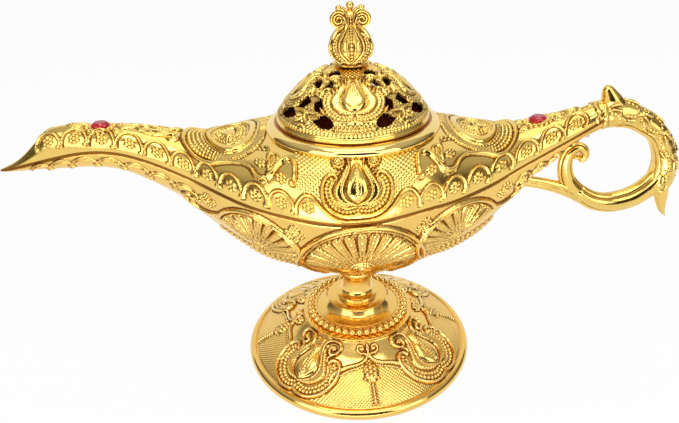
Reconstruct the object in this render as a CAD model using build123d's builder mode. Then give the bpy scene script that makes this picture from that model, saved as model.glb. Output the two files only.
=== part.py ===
from build123d import *
import os
from math import cos, radians, sin

os.makedirs("parts", exist_ok=True)

# Driving dimensions, in millimetres. X runs from the spout (minus) to the handle (plus),
# Z is up, and the origin is the centre of the foot on the table.
spout_reach = 134.5
tail_reach = 91.0
handle_reach = 125.8
bowl_half_width = 40.0
seam_height = 82.7
bowl_depth = 38.4
crown_rise = 24.3
shell_wall = 2.0
seam_skirt = 1.0
cavity_spout_reach = 96.0

relief_height = 0.9
relief_root = 0.7
palmette_height = 21.5
palmette_foot_rise = 1.0
shoulder_palmette_height = 27.5
shoulder_palmette_x = 66.0
arcade_base = 2.0
arcade_rise = 6.4
arcade_foot_rise = 2.6
foot_palmette_height = 26.0
foot_palmette_turn = -38.5

mouth_radius = 28.0
seat_radius = 31.2
seat_height = 102.4
seat_depth = 4.2
collar_height = 3.2
collar_inner_radius = 26.6
collar_roll = 1.6
collar_spigot_depth = 3.0

lid_rim_radius = 28.0
lid_rim_height = 1.4
dome_rise = 18.2
dome_wall = 1.6
lid_pad_radius = 4.2
lid_pad_depth = 2.4
skirt_clearance = 0.3
skirt_wall = 1.2
skirt_depth = 6.5

finial_height = 21.4
finial_bulb_radius = 7.9
volute_radius = 3.1
volute_reach = 6.9
fleuron_ball_radius = 1.6
finial_screw_radius = 1.5
finial_screw_head_radius = 2.8
finial_screw_head_height = 1.8
finial_screw_grip = 8.0
finial_washer_radius = 3.8
finial_washer_height = 0.6

foot_radius = 48.2
foot_rim_height = 4.8
foot_height = 19.7
foot_step_radius = 23.1
foot_step_height = 1.6
foot_wall = 2.2
foot_land = 4.5
foot_edge_round = 1.2

stem_base_radius = 20.4
stem_bead_radius = 1.5
stem_cone_radius = 12.1
stem_cone_height = 5.3
stem_ring_radius = 8.4
stem_ring_height = 7.8
neck_radius = 5.9
neck_collar_radius = 7.4
neck_collar_height = 17.3

bolt_radius = 2.5
bolt_clearance = 0.2
bolt_head_radius = 4.6
bolt_head_height = 3.6
bolt_tail = 2.2
tie_washer_radius = 7.5
tie_washer_height = 1.0
tie_nut_radius = 4.8
tie_nut_height = 4.0
bowl_pad_radius = 8.0
bowl_pad_height = 2.2

dish_base_radius = 9.5
dish_rim_radius = 19.0
dish_height = 9.0
dish_wall = 1.0

lug_radius = 3.6
lug_half_height = 6.0
lug_x = 19.0
lug_y = 32.0
dowel_radius = 1.5
dowel_half_length = 4.0

gem_length = 7.2
gem_width = 6.0
gem_height = 2.2
gem_seat_depth = 0.8
gem_spout_x = 93.0
gem_tail_x = 69.0
bezel_wall = 0.9
bezel_depth = 2.6
bezel_proud = 0.5

plug_start = 79.0
plug_clearance = 0.1
handle_screw_radius = 1.1
handle_screw_head_radius = 2.0
handle_screw_head_height = 1.1
handle_screw_length = 6.0
handle_screw_first_x = 82.5
handle_screw_pitch = 4.6
arm_size = 5.0
overrun = 10.0

# Stations along the body, spout tip first: place (share of spout_reach or tail_reach),
# half width (share of bowl_half_width), seam rise and keel depth (shares of bowl_depth),
# ridge rise over the seam (share of crown_rise), and how full the upper section is.
station_shares = [
    (-1.000, 0.020, 0.180, 0.016, 0.020, 0.55),
    (-0.937, 0.060, 0.240, 0.070, 0.095, 0.55),
    (-0.892, 0.085, 0.281, 0.102, 0.235, 0.55),
    (-0.848, 0.108, 0.320, 0.138, 0.379, 0.55),
    (-0.714, 0.165, 0.404, 0.216, 0.305, 0.55),
    (-0.632, 0.195, 0.385, 0.260, 0.321, 0.55),
    (-0.558, 0.240, 0.318, 0.331, 0.366, 0.56),
    (-0.483, 0.310, 0.229, 0.419, 0.424, 0.58),
    (-0.416, 0.415, 0.159, 0.568, 0.486, 0.60),
    (-0.342, 0.590, 0.109, 0.714, 0.564, 0.64),
    (-0.268, 0.762, 0.076, 0.849, 0.642, 0.70),
    (-0.178, 0.900, 0.039, 0.927, 0.815, 0.75),
    (0.000, 1.000, 0.000, 1.000, 1.000, 0.75),
    (0.264, 0.840, 0.034, 0.948, 0.823, 0.75),
    (0.374, 0.715, 0.040, 0.875, 0.716, 0.70),
    (0.462, 0.600, 0.058, 0.805, 0.613, 0.66),
    (0.550, 0.480, 0.086, 0.677, 0.543, 0.62),
    (0.637, 0.375, 0.146, 0.490, 0.457, 0.58),
    (0.725, 0.290, 0.216, 0.333, 0.403, 0.56),
    (0.813, 0.225, 0.297, 0.232, 0.350, 0.55),
    (0.901, 0.175, 0.390, 0.150, 0.272, 0.55),
    (1.000, 0.138, 0.520, 0.159, 0.218, 0.55),
]
round_share = 0.5523


def station(shares):
    """One body station in millimetres: x, half width, seam, keel, ridge and fullness."""
    place, width, seam, keel, ridge, full = shares
    reach = spout_reach if place < 0 else tail_reach
    seam_z = seam_height + seam * bowl_depth
    return (place * reach, width * bowl_half_width, seam_z,
            seam_z - keel * bowl_depth, seam_z + ridge * crown_rise, full)


stations = [station(shares) for shares in station_shares]
tail_height = (stations[-1][3] + stations[-1][4]) / 2


def body_at(x, column):
    """A body size at any x, on the straight line between its two stations."""
    for low, high in zip(stations, stations[1:]):
        if low[0] <= x <= high[0]:
            return low[column] + (high[column] - low[column]) * (x - low[0]) / (high[0] - low[0])


def half_section(place, half, inset, floor):
    """Draw one half section of the body, inset by a wall: half is +1 above the seam, -1 below.

    The curve runs from the widest point over the ridge or keel and back, and closes on a
    straight line that lies at the seam, or floor past it.
    """
    x, width, seam, keel, ridge, full = place
    side = width - inset
    top = ridge - inset if half > 0 else keel + inset
    full = full if half > 0 else round_share
    lift = (top - seam) * full
    base = seam - half * floor
    with BuildSketch(Plane.YZ.offset(x)) as sketch:
        with BuildLine():
            Bezier((side, seam), (side, seam + lift), (side * full, top), (0, top))
            Bezier((0, top), (-side * full, top), (-side, seam + lift), (-side, seam))
            if floor > 0:
                Polyline((-side, seam), (-side, base), (side, base), (side, seam))
            else:
                Line((-side, seam), (side, seam))
        make_face()
    return sketch.sketch


def body_loft(half, inset, floor, first=-spout_reach, last=tail_reach):
    """Loft one half of the body between two places along X."""
    chosen = [place for place in stations if first <= place[0] <= last]
    with BuildPart() as solid:
        loft([half_section(place, half, inset, floor) for place in chosen])
    return solid.part


# Both halves are lofted a little past the seam and cut on one surface, which follows the
# seam along X and is straight across the body, so that they meet face to face.
with BuildPart() as above_seam:
    with BuildSketch(Plane.XZ):
        seam_line = [(place[0], place[2]) for place in stations]
        roof = seam_height + crown_rise + bowl_depth
        ends = (-spout_reach - overrun, tail_reach + overrun)
        with BuildLine():
            Spline(seam_line)
            Polyline(seam_line[-1], (ends[1], seam_line[-1][1]), (ends[1], roof), (ends[0], roof),
                     (ends[0], seam_line[0][1]), seam_line[0])
        make_face()
    extrude(amount=bowl_half_width + overrun, both=True)

upper_body = body_loft(1, 0, seam_skirt) & above_seam.part
lower_body = body_loft(-1, 0, seam_skirt) - above_seam.part
upper_cavity = body_loft(1, shell_wall, shell_wall, -cavity_spout_reach)
lower_cavity = body_loft(-1, shell_wall, shell_wall, -cavity_spout_reach)

# Bosses inside the seam, each bored for a locating dowel. Each half keeps its own share.
lug_places = [(side * lug_x, end * lug_y) for side in (-1, 1) for end in (-1, 1)]
lug_seam = body_at(lug_x, 2)

with BuildPart() as lugs:
    with BuildSketch(Plane.XY.offset(lug_seam - lug_half_height)):
        with Locations(*lug_places):
            Circle(lug_radius)
    extrude(amount=2 * lug_half_height)

with BuildPart() as seam_dowels:
    with BuildSketch(Plane.XY.offset(lug_seam - dowel_half_length)):
        with Locations(*lug_places):
            Circle(dowel_radius)
    extrude(amount=2 * dowel_half_length)
seam_dowels.part.label = "seam_dowels"
export_step(seam_dowels.part, "parts/seam_dowels.step")


def oval_prism(x, z, length, width, height):
    """An upright oval plug whose foot stands at height z over the ridge line."""
    with BuildPart() as plug:
        with BuildSketch(Plane.XY.offset(z)):
            with Locations((x, 0)):
                Ellipse(length / 2, width / 2)
        extrude(amount=height)
    return plug.part


# Cast ornament: each palmette is a raised field with a teardrop and two volutes, drawn in
# shares of its height (across its axis, along its axis), and an arcade runs along the seam
# between feet that are shares of spout_reach or tail_reach.
palmette_shares = [(0.00, 0.11), (0.26, 0.12), (0.42, 0.22), (0.50, 0.42), (0.46, 0.66), (0.33, 0.73),
                   (0.17, 0.72), (0.10, 0.86), (0.00, 0.93)]
teardrop_shares = [(0.00, 0.33), (0.09, 0.41), (0.13, 0.54), (0.07, 0.71), (0.00, 0.86)]
volute_shares = (0.25, 0.88, 0.11)
palmettes = 4
spout_foot_shares = [-0.871, -0.794, -0.717, -0.641, -0.564, -0.491, -0.421, -0.352, -0.286, -0.220, -0.153]
tail_foot_shares = [0.226, 0.321, 0.418, 0.520, 0.629, 0.738, 0.844, 0.941]


def palmette_faces(plane, height, squeeze=1.0):
    """The palmette's field with its volutes, and its teardrop, as two sketches on a plane."""
    def outline(shares):
        right = [(u * height, v * height * squeeze) for u, v in shares]
        return right + [(-u, v) for u, v in right[-2:0:-1]]

    with BuildSketch(plane) as field:
        with BuildLine():
            Spline(outline(palmette_shares), periodic=True)
        make_face()
        u, v, size = volute_shares
        with Locations((-u * height, v * height * squeeze), (u * height, v * height * squeeze)):
            Circle(size * height)
    with BuildSketch(plane) as teardrop:
        with BuildLine():
            Spline(outline(teardrop_shares), periodic=True)
        make_face()
    return field.sketch, teardrop.sketch


def seam_at(x):
    return body_at(x, 2)


def arcade_face(feet):
    """The arcade along the seam in front view: a band with one round top between two feet."""
    first, last = feet[0], feet[-1]
    with BuildSketch(Plane.XZ) as band:
        with BuildLine():
            base = [(x, seam_at(x) + arcade_base) for x in feet]
            for (ax, az), (bx, bz) in zip(base, base[1:]):
                middle = (ax + bx) / 2
                ThreePointArc((ax, az + arcade_foot_rise), (middle, seam_at(middle) + arcade_base + arcade_rise),
                              (bx, bz + arcade_foot_rise))
            Line((last, base[-1][1] + arcade_foot_rise), base[-1])
            Polyline(base[::-1])
            Line(base[0], (first, base[0][1] + arcade_foot_rise))
        make_face()
    return band.sketch


spout_feet = [share * spout_reach for share in spout_foot_shares]
tail_feet = [share * tail_reach for share in tail_foot_shares]
front_plane = Plane(origin=(0, 0, seam_height + palmette_foot_rise), x_dir=(1, 0, 0), z_dir=(0, -1, 0))
front_lean_share = 0.74
shoulder_planes = [Plane(origin=(side * shoulder_palmette_x, 0, seam_height), x_dir=(0, side, 0),
                         z_dir=(0, 0, 1)) for side in (-1, 1)]
deep = bowl_half_width + overrun

with BuildPart() as low_fields:
    field, teardrop = palmette_faces(front_plane, palmette_height, front_lean_share)
    for face in (field, arcade_face(spout_feet), arcade_face(tail_feet)):
        extrude(face, amount=deep, both=True)
    for plane in shoulder_planes:
        extrude(palmette_faces(plane, shoulder_palmette_height)[0], amount=deep)

with BuildPart() as high_fields:
    extrude(teardrop, amount=deep, both=True)
    for plane in shoulder_planes:
        extrude(palmette_faces(plane, shoulder_palmette_height)[1], amount=deep)

inner_skin = body_loft(1, relief_root, relief_root)
with BuildPart() as upper_ornament:
    add(body_loft(1, -relief_height / 2, 0) & low_fields.part)
    add(body_loft(1, -relief_height, 0) & high_fields.part)
    add(inner_skin, mode=Mode.SUBTRACT)

# The upper shell: shoulder, spout roof and tail roof in one casting, open at the mouth,
# with a flat seat for the collar and two oval bezels for the gems.
gem_places = {"gem_spout": -gem_spout_x, "gem_tail": gem_tail_x}
bezel_tops = {name: body_at(x, 4) + bezel_proud for name, x in gem_places.items()}

with BuildPart() as upper_shell:
    add(upper_body)
    add(upper_ornament.part)
    add(upper_cavity, mode=Mode.SUBTRACT)
    add(lugs.part & upper_body)
    with BuildSketch(Plane.XZ):
        with Locations((mouth_radius, seat_height - seat_depth)):
            Rectangle(seat_radius - mouth_radius, seat_depth, align=Align.MIN)
    revolve(axis=Axis.Z)
    with BuildSketch(Plane.XY.offset(seat_height)):
        Circle(seat_radius)
    extrude(amount=overrun, mode=Mode.SUBTRACT)
    with BuildSketch(Plane.XY.offset(seat_height - seat_depth - overrun)):
        Circle(mouth_radius)
    extrude(amount=2 * overrun + seat_depth, mode=Mode.SUBTRACT)
    for name, x in gem_places.items():
        outer = (gem_length + 2 * bezel_wall, gem_width + 2 * bezel_wall)
        add(oval_prism(x, bezel_tops[name] - bezel_depth, *outer, bezel_depth))
        pocket = oval_prism(x, bezel_tops[name] - gem_seat_depth, gem_length, gem_width, overrun)
        add(pocket, mode=Mode.SUBTRACT)
    add(seam_dowels.part, mode=Mode.SUBTRACT)
upper_shell.part.label = "upper_shell"
export_step(upper_shell.part, "parts/upper_shell.step")

# Red glass gems, each an oval stone with a smaller flat table, that sits in its bezel.
gem_table_share = 0.58
for name, x in gem_places.items():
    with BuildPart() as gem:
        foot_z = bezel_tops[name] - gem_seat_depth
        sizes = [(0, 1.0), (gem_seat_depth, 1.0), (gem_height, gem_table_share)]
        for low, high in zip(sizes, sizes[1:]):
            with BuildSketch(Plane.XY.offset(foot_z + low[0])) as lower_face:
                with Locations((x, 0)):
                    Ellipse(gem_length / 2 * low[1], gem_width / 2 * low[1])
            with BuildSketch(Plane.XY.offset(foot_z + high[0])) as upper_face:
                with Locations((x, 0)):
                    Ellipse(gem_length / 2 * high[1], gem_width / 2 * high[1])
            loft([lower_face.sketch, upper_face.sketch])
    gem.part.label = name
    export_step(gem.part, f"parts/{name}.step")

# The lower shell: bowl, spout floor and tail floor in one casting, with a flat pad inside
# for the tie bolt and the dish.
bowl_floor = body_at(0, 3) + shell_wall
pad_top = bowl_floor + bowl_pad_height
bolt_hole = bolt_radius + bolt_clearance

with BuildPart() as bowl_pad:
    with BuildSketch(Plane.XY.offset(bowl_floor - shell_wall)):
        Circle(bowl_pad_radius)
    extrude(amount=pad_top - bowl_floor + shell_wall)

screw_places = [handle_screw_first_x + i * handle_screw_pitch for i in range(2)]


def screw_cut(x, radius, low, high):
    """An upright round plug on the tail's centre line, between two heights over the keel."""
    with BuildPart() as plug:
        with BuildSketch(Plane.XY.offset(body_at(x, 3) + low)):
            with Locations((x, 0)):
                Circle(radius)
        extrude(amount=high - low)
    return plug.part


# Two round-headed screws come up through the tail into the handle's plug.
with BuildPart() as handle_screws:
    for x in screw_places:
        add(screw_cut(x, handle_screw_head_radius, 0, handle_screw_head_height))
        add(screw_cut(x, handle_screw_radius, handle_screw_head_height,
                      handle_screw_head_height + handle_screw_length))
handle_screws.part.label = "handle_screws"
export_step(handle_screws.part, "parts/handle_screws.step")

with BuildPart() as lower_shell:
    add(lower_body)
    add(lower_cavity, mode=Mode.SUBTRACT)
    add(lugs.part & lower_body)
    add(bowl_pad.part & lower_body)
    with BuildSketch(Plane.XY.offset(bowl_floor - shell_wall - overrun)):
        Circle(bolt_hole)
    extrude(amount=2 * overrun, mode=Mode.SUBTRACT)
    for x in screw_places:
        add(screw_cut(x, handle_screw_head_radius, -overrun, handle_screw_head_height),
            mode=Mode.SUBTRACT)
    add(handle_screws.part, mode=Mode.SUBTRACT)
    add(seam_dowels.part, mode=Mode.SUBTRACT)
lower_shell.part.label = "lower_shell"
export_step(lower_shell.part, "parts/lower_shell.step")

# The collar: a polished ring with a rolled edge, whose spigot drops into the mouth.
collar_top = seat_height + collar_height
with BuildPart() as collar_ring:
    with BuildSketch(Plane.XZ) as collar_section:
        with BuildLine():
            Polyline((seat_radius - collar_roll, collar_top), (collar_inner_radius, collar_top),
                     (collar_inner_radius, seat_height - collar_spigot_depth),
                     (mouth_radius, seat_height - collar_spigot_depth), (mouth_radius, seat_height),
                     (seat_radius, seat_height))
            Spline((seat_radius, seat_height), (seat_radius - collar_roll / 2, seat_height + collar_height / 2),
                   (seat_radius - collar_roll, collar_top))
        make_face()
    revolve(axis=Axis.Z)
collar_ring.part.label = "collar_ring"
export_step(collar_ring.part, "parts/collar_ring.step")

# The lid: a pierced cast dome with six openings round each of four palmettes and one over
# each corner between them. An opening is a leaf between two points, given as turn from the
# palmette's middle in degrees and distance from the axis as a share of the lid's rim.
lid_base = collar_top
dome_base = lid_base + lid_rim_height
dome_top = dome_base + dome_rise
dome_radius_shares = (1.0, 0.94, 0.767, 0.50, 0.21)
dome_height_shares = (0.0, 0.145, 0.41, 0.765, 0.965)
opening_shares = [((26, 0.50), (43, 0.55), 0.052), ((29, 0.78), (43.5, 0.70), 0.050),
                  ((15, 0.925), (36, 0.87), 0.045)]
corner_share = ((26, 0.33), (64, 0.33), 0.066)


def dome_outline(inset):
    """The dome's side from its rim to its pole, moved inwards by the wall."""
    points = [(lid_rim_radius * r - inset, dome_base + dome_rise * h - inset)
              for r, h in zip(dome_radius_shares, dome_height_shares)]
    return points[:-1] + [(lid_rim_radius * dome_radius_shares[-1], points[-1][1])], dome_top - inset


with BuildPart() as lid_openings:
    with BuildSketch(Plane.XY.offset(lid_base)):
        for petal in range(palmettes):
            middle = petal * 360 / palmettes
            leaves = [(side, leaf) for side in (-1, 1) for leaf in opening_shares]
            for side, ((turn_a, out_a), (turn_b, out_b), fat) in leaves + [(1, corner_share)]:
                ends = [(lid_rim_radius * out * cos(radians(middle + side * turn)),
                         lid_rim_radius * out * sin(radians(middle + side * turn)))
                        for turn, out in ((turn_a, out_a), (turn_b, out_b))]
                (ax, ay), (bx, by) = ends
                length = ((bx - ax) ** 2 + (by - ay) ** 2) ** 0.5
                wide = fat * lid_rim_radius
                nx, ny = (ay - by) / length * wide, (bx - ax) / length * wide
                mx, my = (ax + bx) / 2, (ay + by) / 2
                with BuildLine():
                    ThreePointArc((ax, ay), (mx + nx, my + ny), (bx, by))
                    ThreePointArc((bx, by), (mx - nx, my - ny), (ax, ay))
                make_face()
    extrude(amount=dome_rise + overrun)

with BuildPart() as lid_dome:
    outer_points, outer_top = dome_outline(0)
    inner_points, inner_top = dome_outline(dome_wall)
    with BuildSketch(Plane.XZ):
        with BuildLine():
            Polyline((inner_points[0][0], inner_points[0][1]), (inner_points[0][0], lid_base),
                     (lid_rim_radius, lid_base), (lid_rim_radius, dome_base))
            Spline(outer_points)
            Polyline(outer_points[-1], (0, outer_top), (0, inner_top), inner_points[-1])
            Spline(inner_points)
        make_face()
    revolve(axis=Axis.Z)
    add(lid_openings.part, mode=Mode.SUBTRACT)
    with BuildSketch(Plane.XY.offset(inner_top - lid_pad_depth)):
        Circle(lid_pad_radius)
    extrude(amount=lid_pad_depth + dome_wall / 2)
    with BuildSketch(Plane.XY.offset(inner_top - overrun)):
        Circle(finial_screw_radius)
    extrude(amount=2 * overrun, mode=Mode.SUBTRACT)
lid_dome.part.label = "lid_dome"
export_step(lid_dome.part, "parts/lid_dome.step")

# The skirt: a turned ring under the lid that keeps it centred in the collar.
with BuildPart() as lid_skirt:
    skirt_radius = collar_inner_radius - skirt_clearance
    with BuildSketch(Plane.XZ):
        with Locations((skirt_radius - skirt_wall, lid_base - skirt_depth)):
            Rectangle(skirt_wall, skirt_depth, align=Align.MIN)
    revolve(axis=Axis.Z)
lid_skirt.part.label = "lid_skirt"
export_step(lid_skirt.part, "parts/lid_skirt.step")

# The finial: a turned bulb and waist with two scrolls and a fleuron of three balls.
finial_base = dome_top
bulb_height_share, waist_height_share, volute_height_share = 0.27, 0.58, 0.71
bulb_share, waist_share, neck_share, base_share = 1.0, 0.45, 0.30, 0.70
volute_thickness_share, ball_step_share = 0.7, 1.1
bulb_z = finial_base + finial_height * bulb_height_share
waist_z = finial_base + finial_height * waist_height_share
volute_z = finial_base + finial_height * volute_height_share
top_ball_z = finial_base + finial_height - fleuron_ball_radius

with BuildPart() as finial:
    with BuildSketch(Plane.XZ):
        with BuildLine():
            Line((0, finial_base), (finial_bulb_radius * base_share, finial_base))
            Spline((finial_bulb_radius * base_share, finial_base), (finial_bulb_radius * bulb_share, bulb_z),
                   (finial_bulb_radius * waist_share, waist_z),
                   (finial_bulb_radius * neck_share, top_ball_z))
            Line((finial_bulb_radius * neck_share, top_ball_z), (0, top_ball_z))
            Line((0, top_ball_z), (0, finial_base))
        make_face()
    revolve(axis=Axis.Z)
    with BuildSketch(Plane.XZ):
        with Locations(*[(side * (volute_reach - volute_radius), volute_z) for side in (-1, 1)]):
            Circle(volute_radius)
    extrude(amount=volute_radius * volute_thickness_share, both=True)
    ball_step = fleuron_ball_radius * ball_step_share
    with Locations((0, 0, top_ball_z), (-ball_step, 0, top_ball_z - ball_step),
                   (ball_step, 0, top_ball_z - ball_step)):
        Sphere(fleuron_ball_radius)
    with BuildSketch(Plane.XY.offset(finial_base)):
        Circle(finial_screw_radius)
    extrude(amount=finial_screw_grip, mode=Mode.SUBTRACT)
finial.part.label = "finial"
export_step(finial.part, "parts/finial.step")

# The finial is held from inside the lid by a washer and a round-headed screw.
pad_bottom = inner_top - lid_pad_depth
head_round_share = 0.45
with BuildPart() as finial_washer:
    with BuildSketch(Plane.XY.offset(pad_bottom - finial_washer_height)):
        Circle(finial_washer_radius)
        Circle(finial_screw_radius, mode=Mode.SUBTRACT)
    extrude(amount=finial_washer_height)
finial_washer.part.label = "finial_washer"
export_step(finial_washer.part, "parts/finial_washer.step")

with BuildPart() as finial_screw:
    head_top = pad_bottom - finial_washer_height
    with BuildSketch(Plane.XY.offset(head_top - finial_screw_head_height)):
        Circle(finial_screw_head_radius)
    extrude(amount=finial_screw_head_height)
    fillet(finial_screw.edges().group_by(Axis.Z)[0], finial_screw_head_height * head_round_share)
    with BuildSketch(Plane.XY.offset(head_top)):
        Circle(finial_screw_radius)
    extrude(amount=finial_base + finial_screw_grip - head_top)
finial_screw.part.label = "finial_screw"
export_step(finial_screw.part, "parts/finial_screw.step")

# The foot: a spun dome on a rolled rim, hollow beneath, with a flat table for the stem.
rim_shares = [(0.985, 0.22), (1.0, 0.55), (0.985, 0.88), (0.955, 1.0), (0.935, 0.94)]
slope_shares = [(0.0, 0.0), (0.18, 0.20), (0.45, 0.43), (0.75, 0.70), (1.0, 1.0)]
slope_foot_radius = foot_radius * rim_shares[-1][0]
slope_foot_height = foot_rim_height * rim_shares[-1][1]
slope_top = foot_height - foot_step_height
foot_underside = foot_height - foot_wall


def foot_slope(inset):
    """The foot's sloping side, from the groove inside the rim up to the step."""
    run = slope_foot_radius - foot_step_radius
    rise = slope_top - slope_foot_height
    return [(slope_foot_radius - run * along - inset, slope_foot_height + rise * up - inset)
            for along, up in slope_shares]


# Four palmettes are pressed into the slope, with an ogee arch and a pendant between them.
ogee_shares = [(-0.60, 0.26), (-0.52, 0.46), (-0.30, 0.60), (-0.12, 0.67), (0.00, 0.84)]
ogee_width_share = 0.055
pendant_shares = (0.50, 0.10, 0.15)
foot_pitch = 360 / palmettes
slope_lean_share = (slope_foot_radius - foot_step_radius) / (
    (slope_foot_radius - foot_step_radius) ** 2 + (slope_top - slope_foot_height) ** 2) ** 0.5


def foot_plane(turn):
    """A level plane on the groove, turned from the front, whose Y runs in to the axis."""
    angle = radians(turn)
    return Plane(origin=(slope_foot_radius * sin(angle), -slope_foot_radius * cos(angle), 0),
                 x_dir=(cos(angle), sin(angle), 0), z_dir=(0, 0, 1))


def foot_band(inset_out, inset_in):
    """A ring that follows the slope between two insets."""
    with BuildPart() as band:
        with BuildSketch(Plane.XZ):
            with BuildLine():
                outer, inner = foot_slope(inset_out), foot_slope(inset_in)
                Spline(outer)
                Line(outer[-1], inner[-1])
                Spline(inner[::-1])
                Line(inner[0], outer[0])
            make_face()
        revolve(axis=Axis.Z)
    return band.part


with BuildPart() as foot_low_fields:
    for i in range(palmettes):
        turn = foot_palmette_turn + i * foot_pitch
        field = palmette_faces(foot_plane(turn), foot_palmette_height, slope_lean_share)[0]
        extrude(field, amount=foot_height + overrun)
        with BuildSketch(foot_plane(turn + foot_pitch / 2)) as arch:
            for side in (-1, 1):
                low = [(side * u * foot_palmette_height, v * foot_palmette_height * slope_lean_share)
                       for u, v in ogee_shares]
                high = [(u, v + ogee_width_share * foot_palmette_height) for u, v in low]
                with BuildLine():
                    Spline(low)
                    Line(low[-1], high[-1])
                    Spline(high[::-1])
                    Line(high[0], low[0])
                make_face()
            rise, half_width, half_height = (share * foot_palmette_height for share in pendant_shares)
            with Locations((0, rise * slope_lean_share)):
                Ellipse(half_width, half_height * slope_lean_share)
        extrude(arch.sketch, amount=foot_height + overrun)

with BuildPart() as foot_high_fields:
    for i in range(palmettes):
        plane = foot_plane(foot_palmette_turn + i * foot_pitch)
        extrude(palmette_faces(plane, foot_palmette_height, slope_lean_share)[1], amount=foot_height + overrun)

with BuildPart() as foot_ornament:
    add(foot_band(-relief_height / 2, relief_root) & foot_low_fields.part)
    add(foot_band(-relief_height, relief_root) & foot_high_fields.part)

with BuildPart() as foot:
    rim_points = [(foot_radius * r, foot_rim_height * h) for r, h in rim_shares]
    slope = foot_slope(0)
    hollow = foot_slope(foot_wall)
    land_inner = foot_radius * rim_shares[0][0] - foot_edge_round - foot_land
    with BuildSketch(Plane.XZ):
        with BuildLine():
            Line((land_inner, 0), (rim_points[0][0] - foot_edge_round, 0))
            Line((rim_points[0][0] - foot_edge_round, 0), rim_points[0])
            Spline(rim_points)
            Spline(slope)
            Polyline(slope[-1], (foot_step_radius, foot_height), (bolt_hole, foot_height),
                     (bolt_hole, foot_underside), (foot_step_radius - foot_wall, foot_underside),
                     hollow[-1])
            Spline(hollow[:0:-1])
            Line(hollow[1], (land_inner, 0))
        make_face()
    revolve(axis=Axis.Z)
    add(foot_ornament.part)
foot.part.label = "foot"
export_step(foot.part, "parts/foot.step")

# The stem: one turned casting with a beaded foot, a hollow-sided cone, a ring and the neck.
# Its top is cut to the bowl's belly, where it is seated.
stem_top = bowl_floor + shell_wall
with BuildPart() as stem:
    cone_z = foot_height + stem_cone_height
    ring_z = foot_height + stem_ring_height
    neck_z = foot_height + neck_collar_height
    bead_z = foot_height + stem_bead_radius
    with BuildSketch(Plane.XZ):
        with BuildLine():
            Polyline((bolt_hole, foot_height), (stem_base_radius, foot_height))
            ThreePointArc((stem_base_radius, foot_height),
                          (stem_base_radius + stem_bead_radius / 2, bead_z),
                          (stem_base_radius - stem_bead_radius, bead_z + stem_bead_radius))
            Spline((stem_base_radius - stem_bead_radius, bead_z + stem_bead_radius),
                   ((stem_base_radius + stem_cone_radius) / 2 - stem_bead_radius / 2,
                    (bead_z + stem_bead_radius + cone_z) / 2),
                   (stem_cone_radius, cone_z))
            Polyline((stem_cone_radius, cone_z), (stem_cone_radius, cone_z + stem_bead_radius / 2),
                     (stem_ring_radius, ring_z - stem_bead_radius / 2),
                     (stem_ring_radius, ring_z + stem_bead_radius / 2),
                     (neck_radius, ring_z + stem_bead_radius))
            Line((neck_radius, ring_z + stem_bead_radius), (neck_radius, neck_z))
            Polyline((neck_radius, neck_z), (neck_collar_radius, neck_z + stem_bead_radius),
                     (neck_collar_radius, stem_top), (bolt_hole, stem_top), (bolt_hole, foot_height))
        make_face()
    revolve(axis=Axis.Z)
    add(lower_body, mode=Mode.SUBTRACT)
stem.part.label = "stem"
export_step(stem.part, "parts/stem.step")

# The incense dish: a shallow spun cup on the pad inside the bowl, held by the tie nut.
dish_floor = pad_top + dish_wall
with BuildPart() as inner_dish:
    with BuildSketch(Plane.XZ):
        with BuildLine():
            Polyline((bolt_hole, pad_top), (dish_base_radius, pad_top),
                     (dish_rim_radius, pad_top + dish_height),
                     (dish_rim_radius - dish_wall, pad_top + dish_height),
                     (dish_base_radius - dish_wall / 2, dish_floor), (bolt_hole, dish_floor), close=True)
        make_face()
    revolve(axis=Axis.Z)
inner_dish.part.label = "inner_dish"
export_step(inner_dish.part, "parts/inner_dish.step")

# The tie bolt runs from under the foot through the stem and the bowl. A washer lies under
# the foot's table and a nut above the dish.
with BuildPart() as tie_washer:
    with BuildSketch(Plane.XY.offset(foot_underside - tie_washer_height)):
        Circle(tie_washer_radius)
        Circle(bolt_hole, mode=Mode.SUBTRACT)
    extrude(amount=tie_washer_height)
tie_washer.part.label = "tie_washer"
export_step(tie_washer.part, "parts/tie_washer.step")

with BuildPart() as tie_bolt:
    bolt_seat = foot_underside - tie_washer_height
    with BuildSketch(Plane.XY.offset(bolt_seat - bolt_head_height)):
        RegularPolygon(bolt_head_radius, 6)
    extrude(amount=bolt_head_height)
    with BuildSketch(Plane.XY.offset(bolt_seat)):
        Circle(bolt_radius)
    extrude(amount=dish_floor + tie_nut_height + bolt_tail - bolt_seat)
    chamfer(tie_bolt.edges().group_by(Axis.Z)[-1], bolt_radius / 5)
tie_bolt.part.label = "tie_bolt"
export_step(tie_bolt.part, "parts/tie_bolt.step")

with BuildPart() as tie_nut:
    with BuildSketch(Plane.XY.offset(dish_floor)):
        RegularPolygon(tie_nut_radius, 6)
        Circle(bolt_radius, mode=Mode.SUBTRACT)
    extrude(amount=tie_nut_height)
tie_nut.part.label = "tie_nut"
export_step(tie_nut.part, "parts/tie_nut.step")

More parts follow.
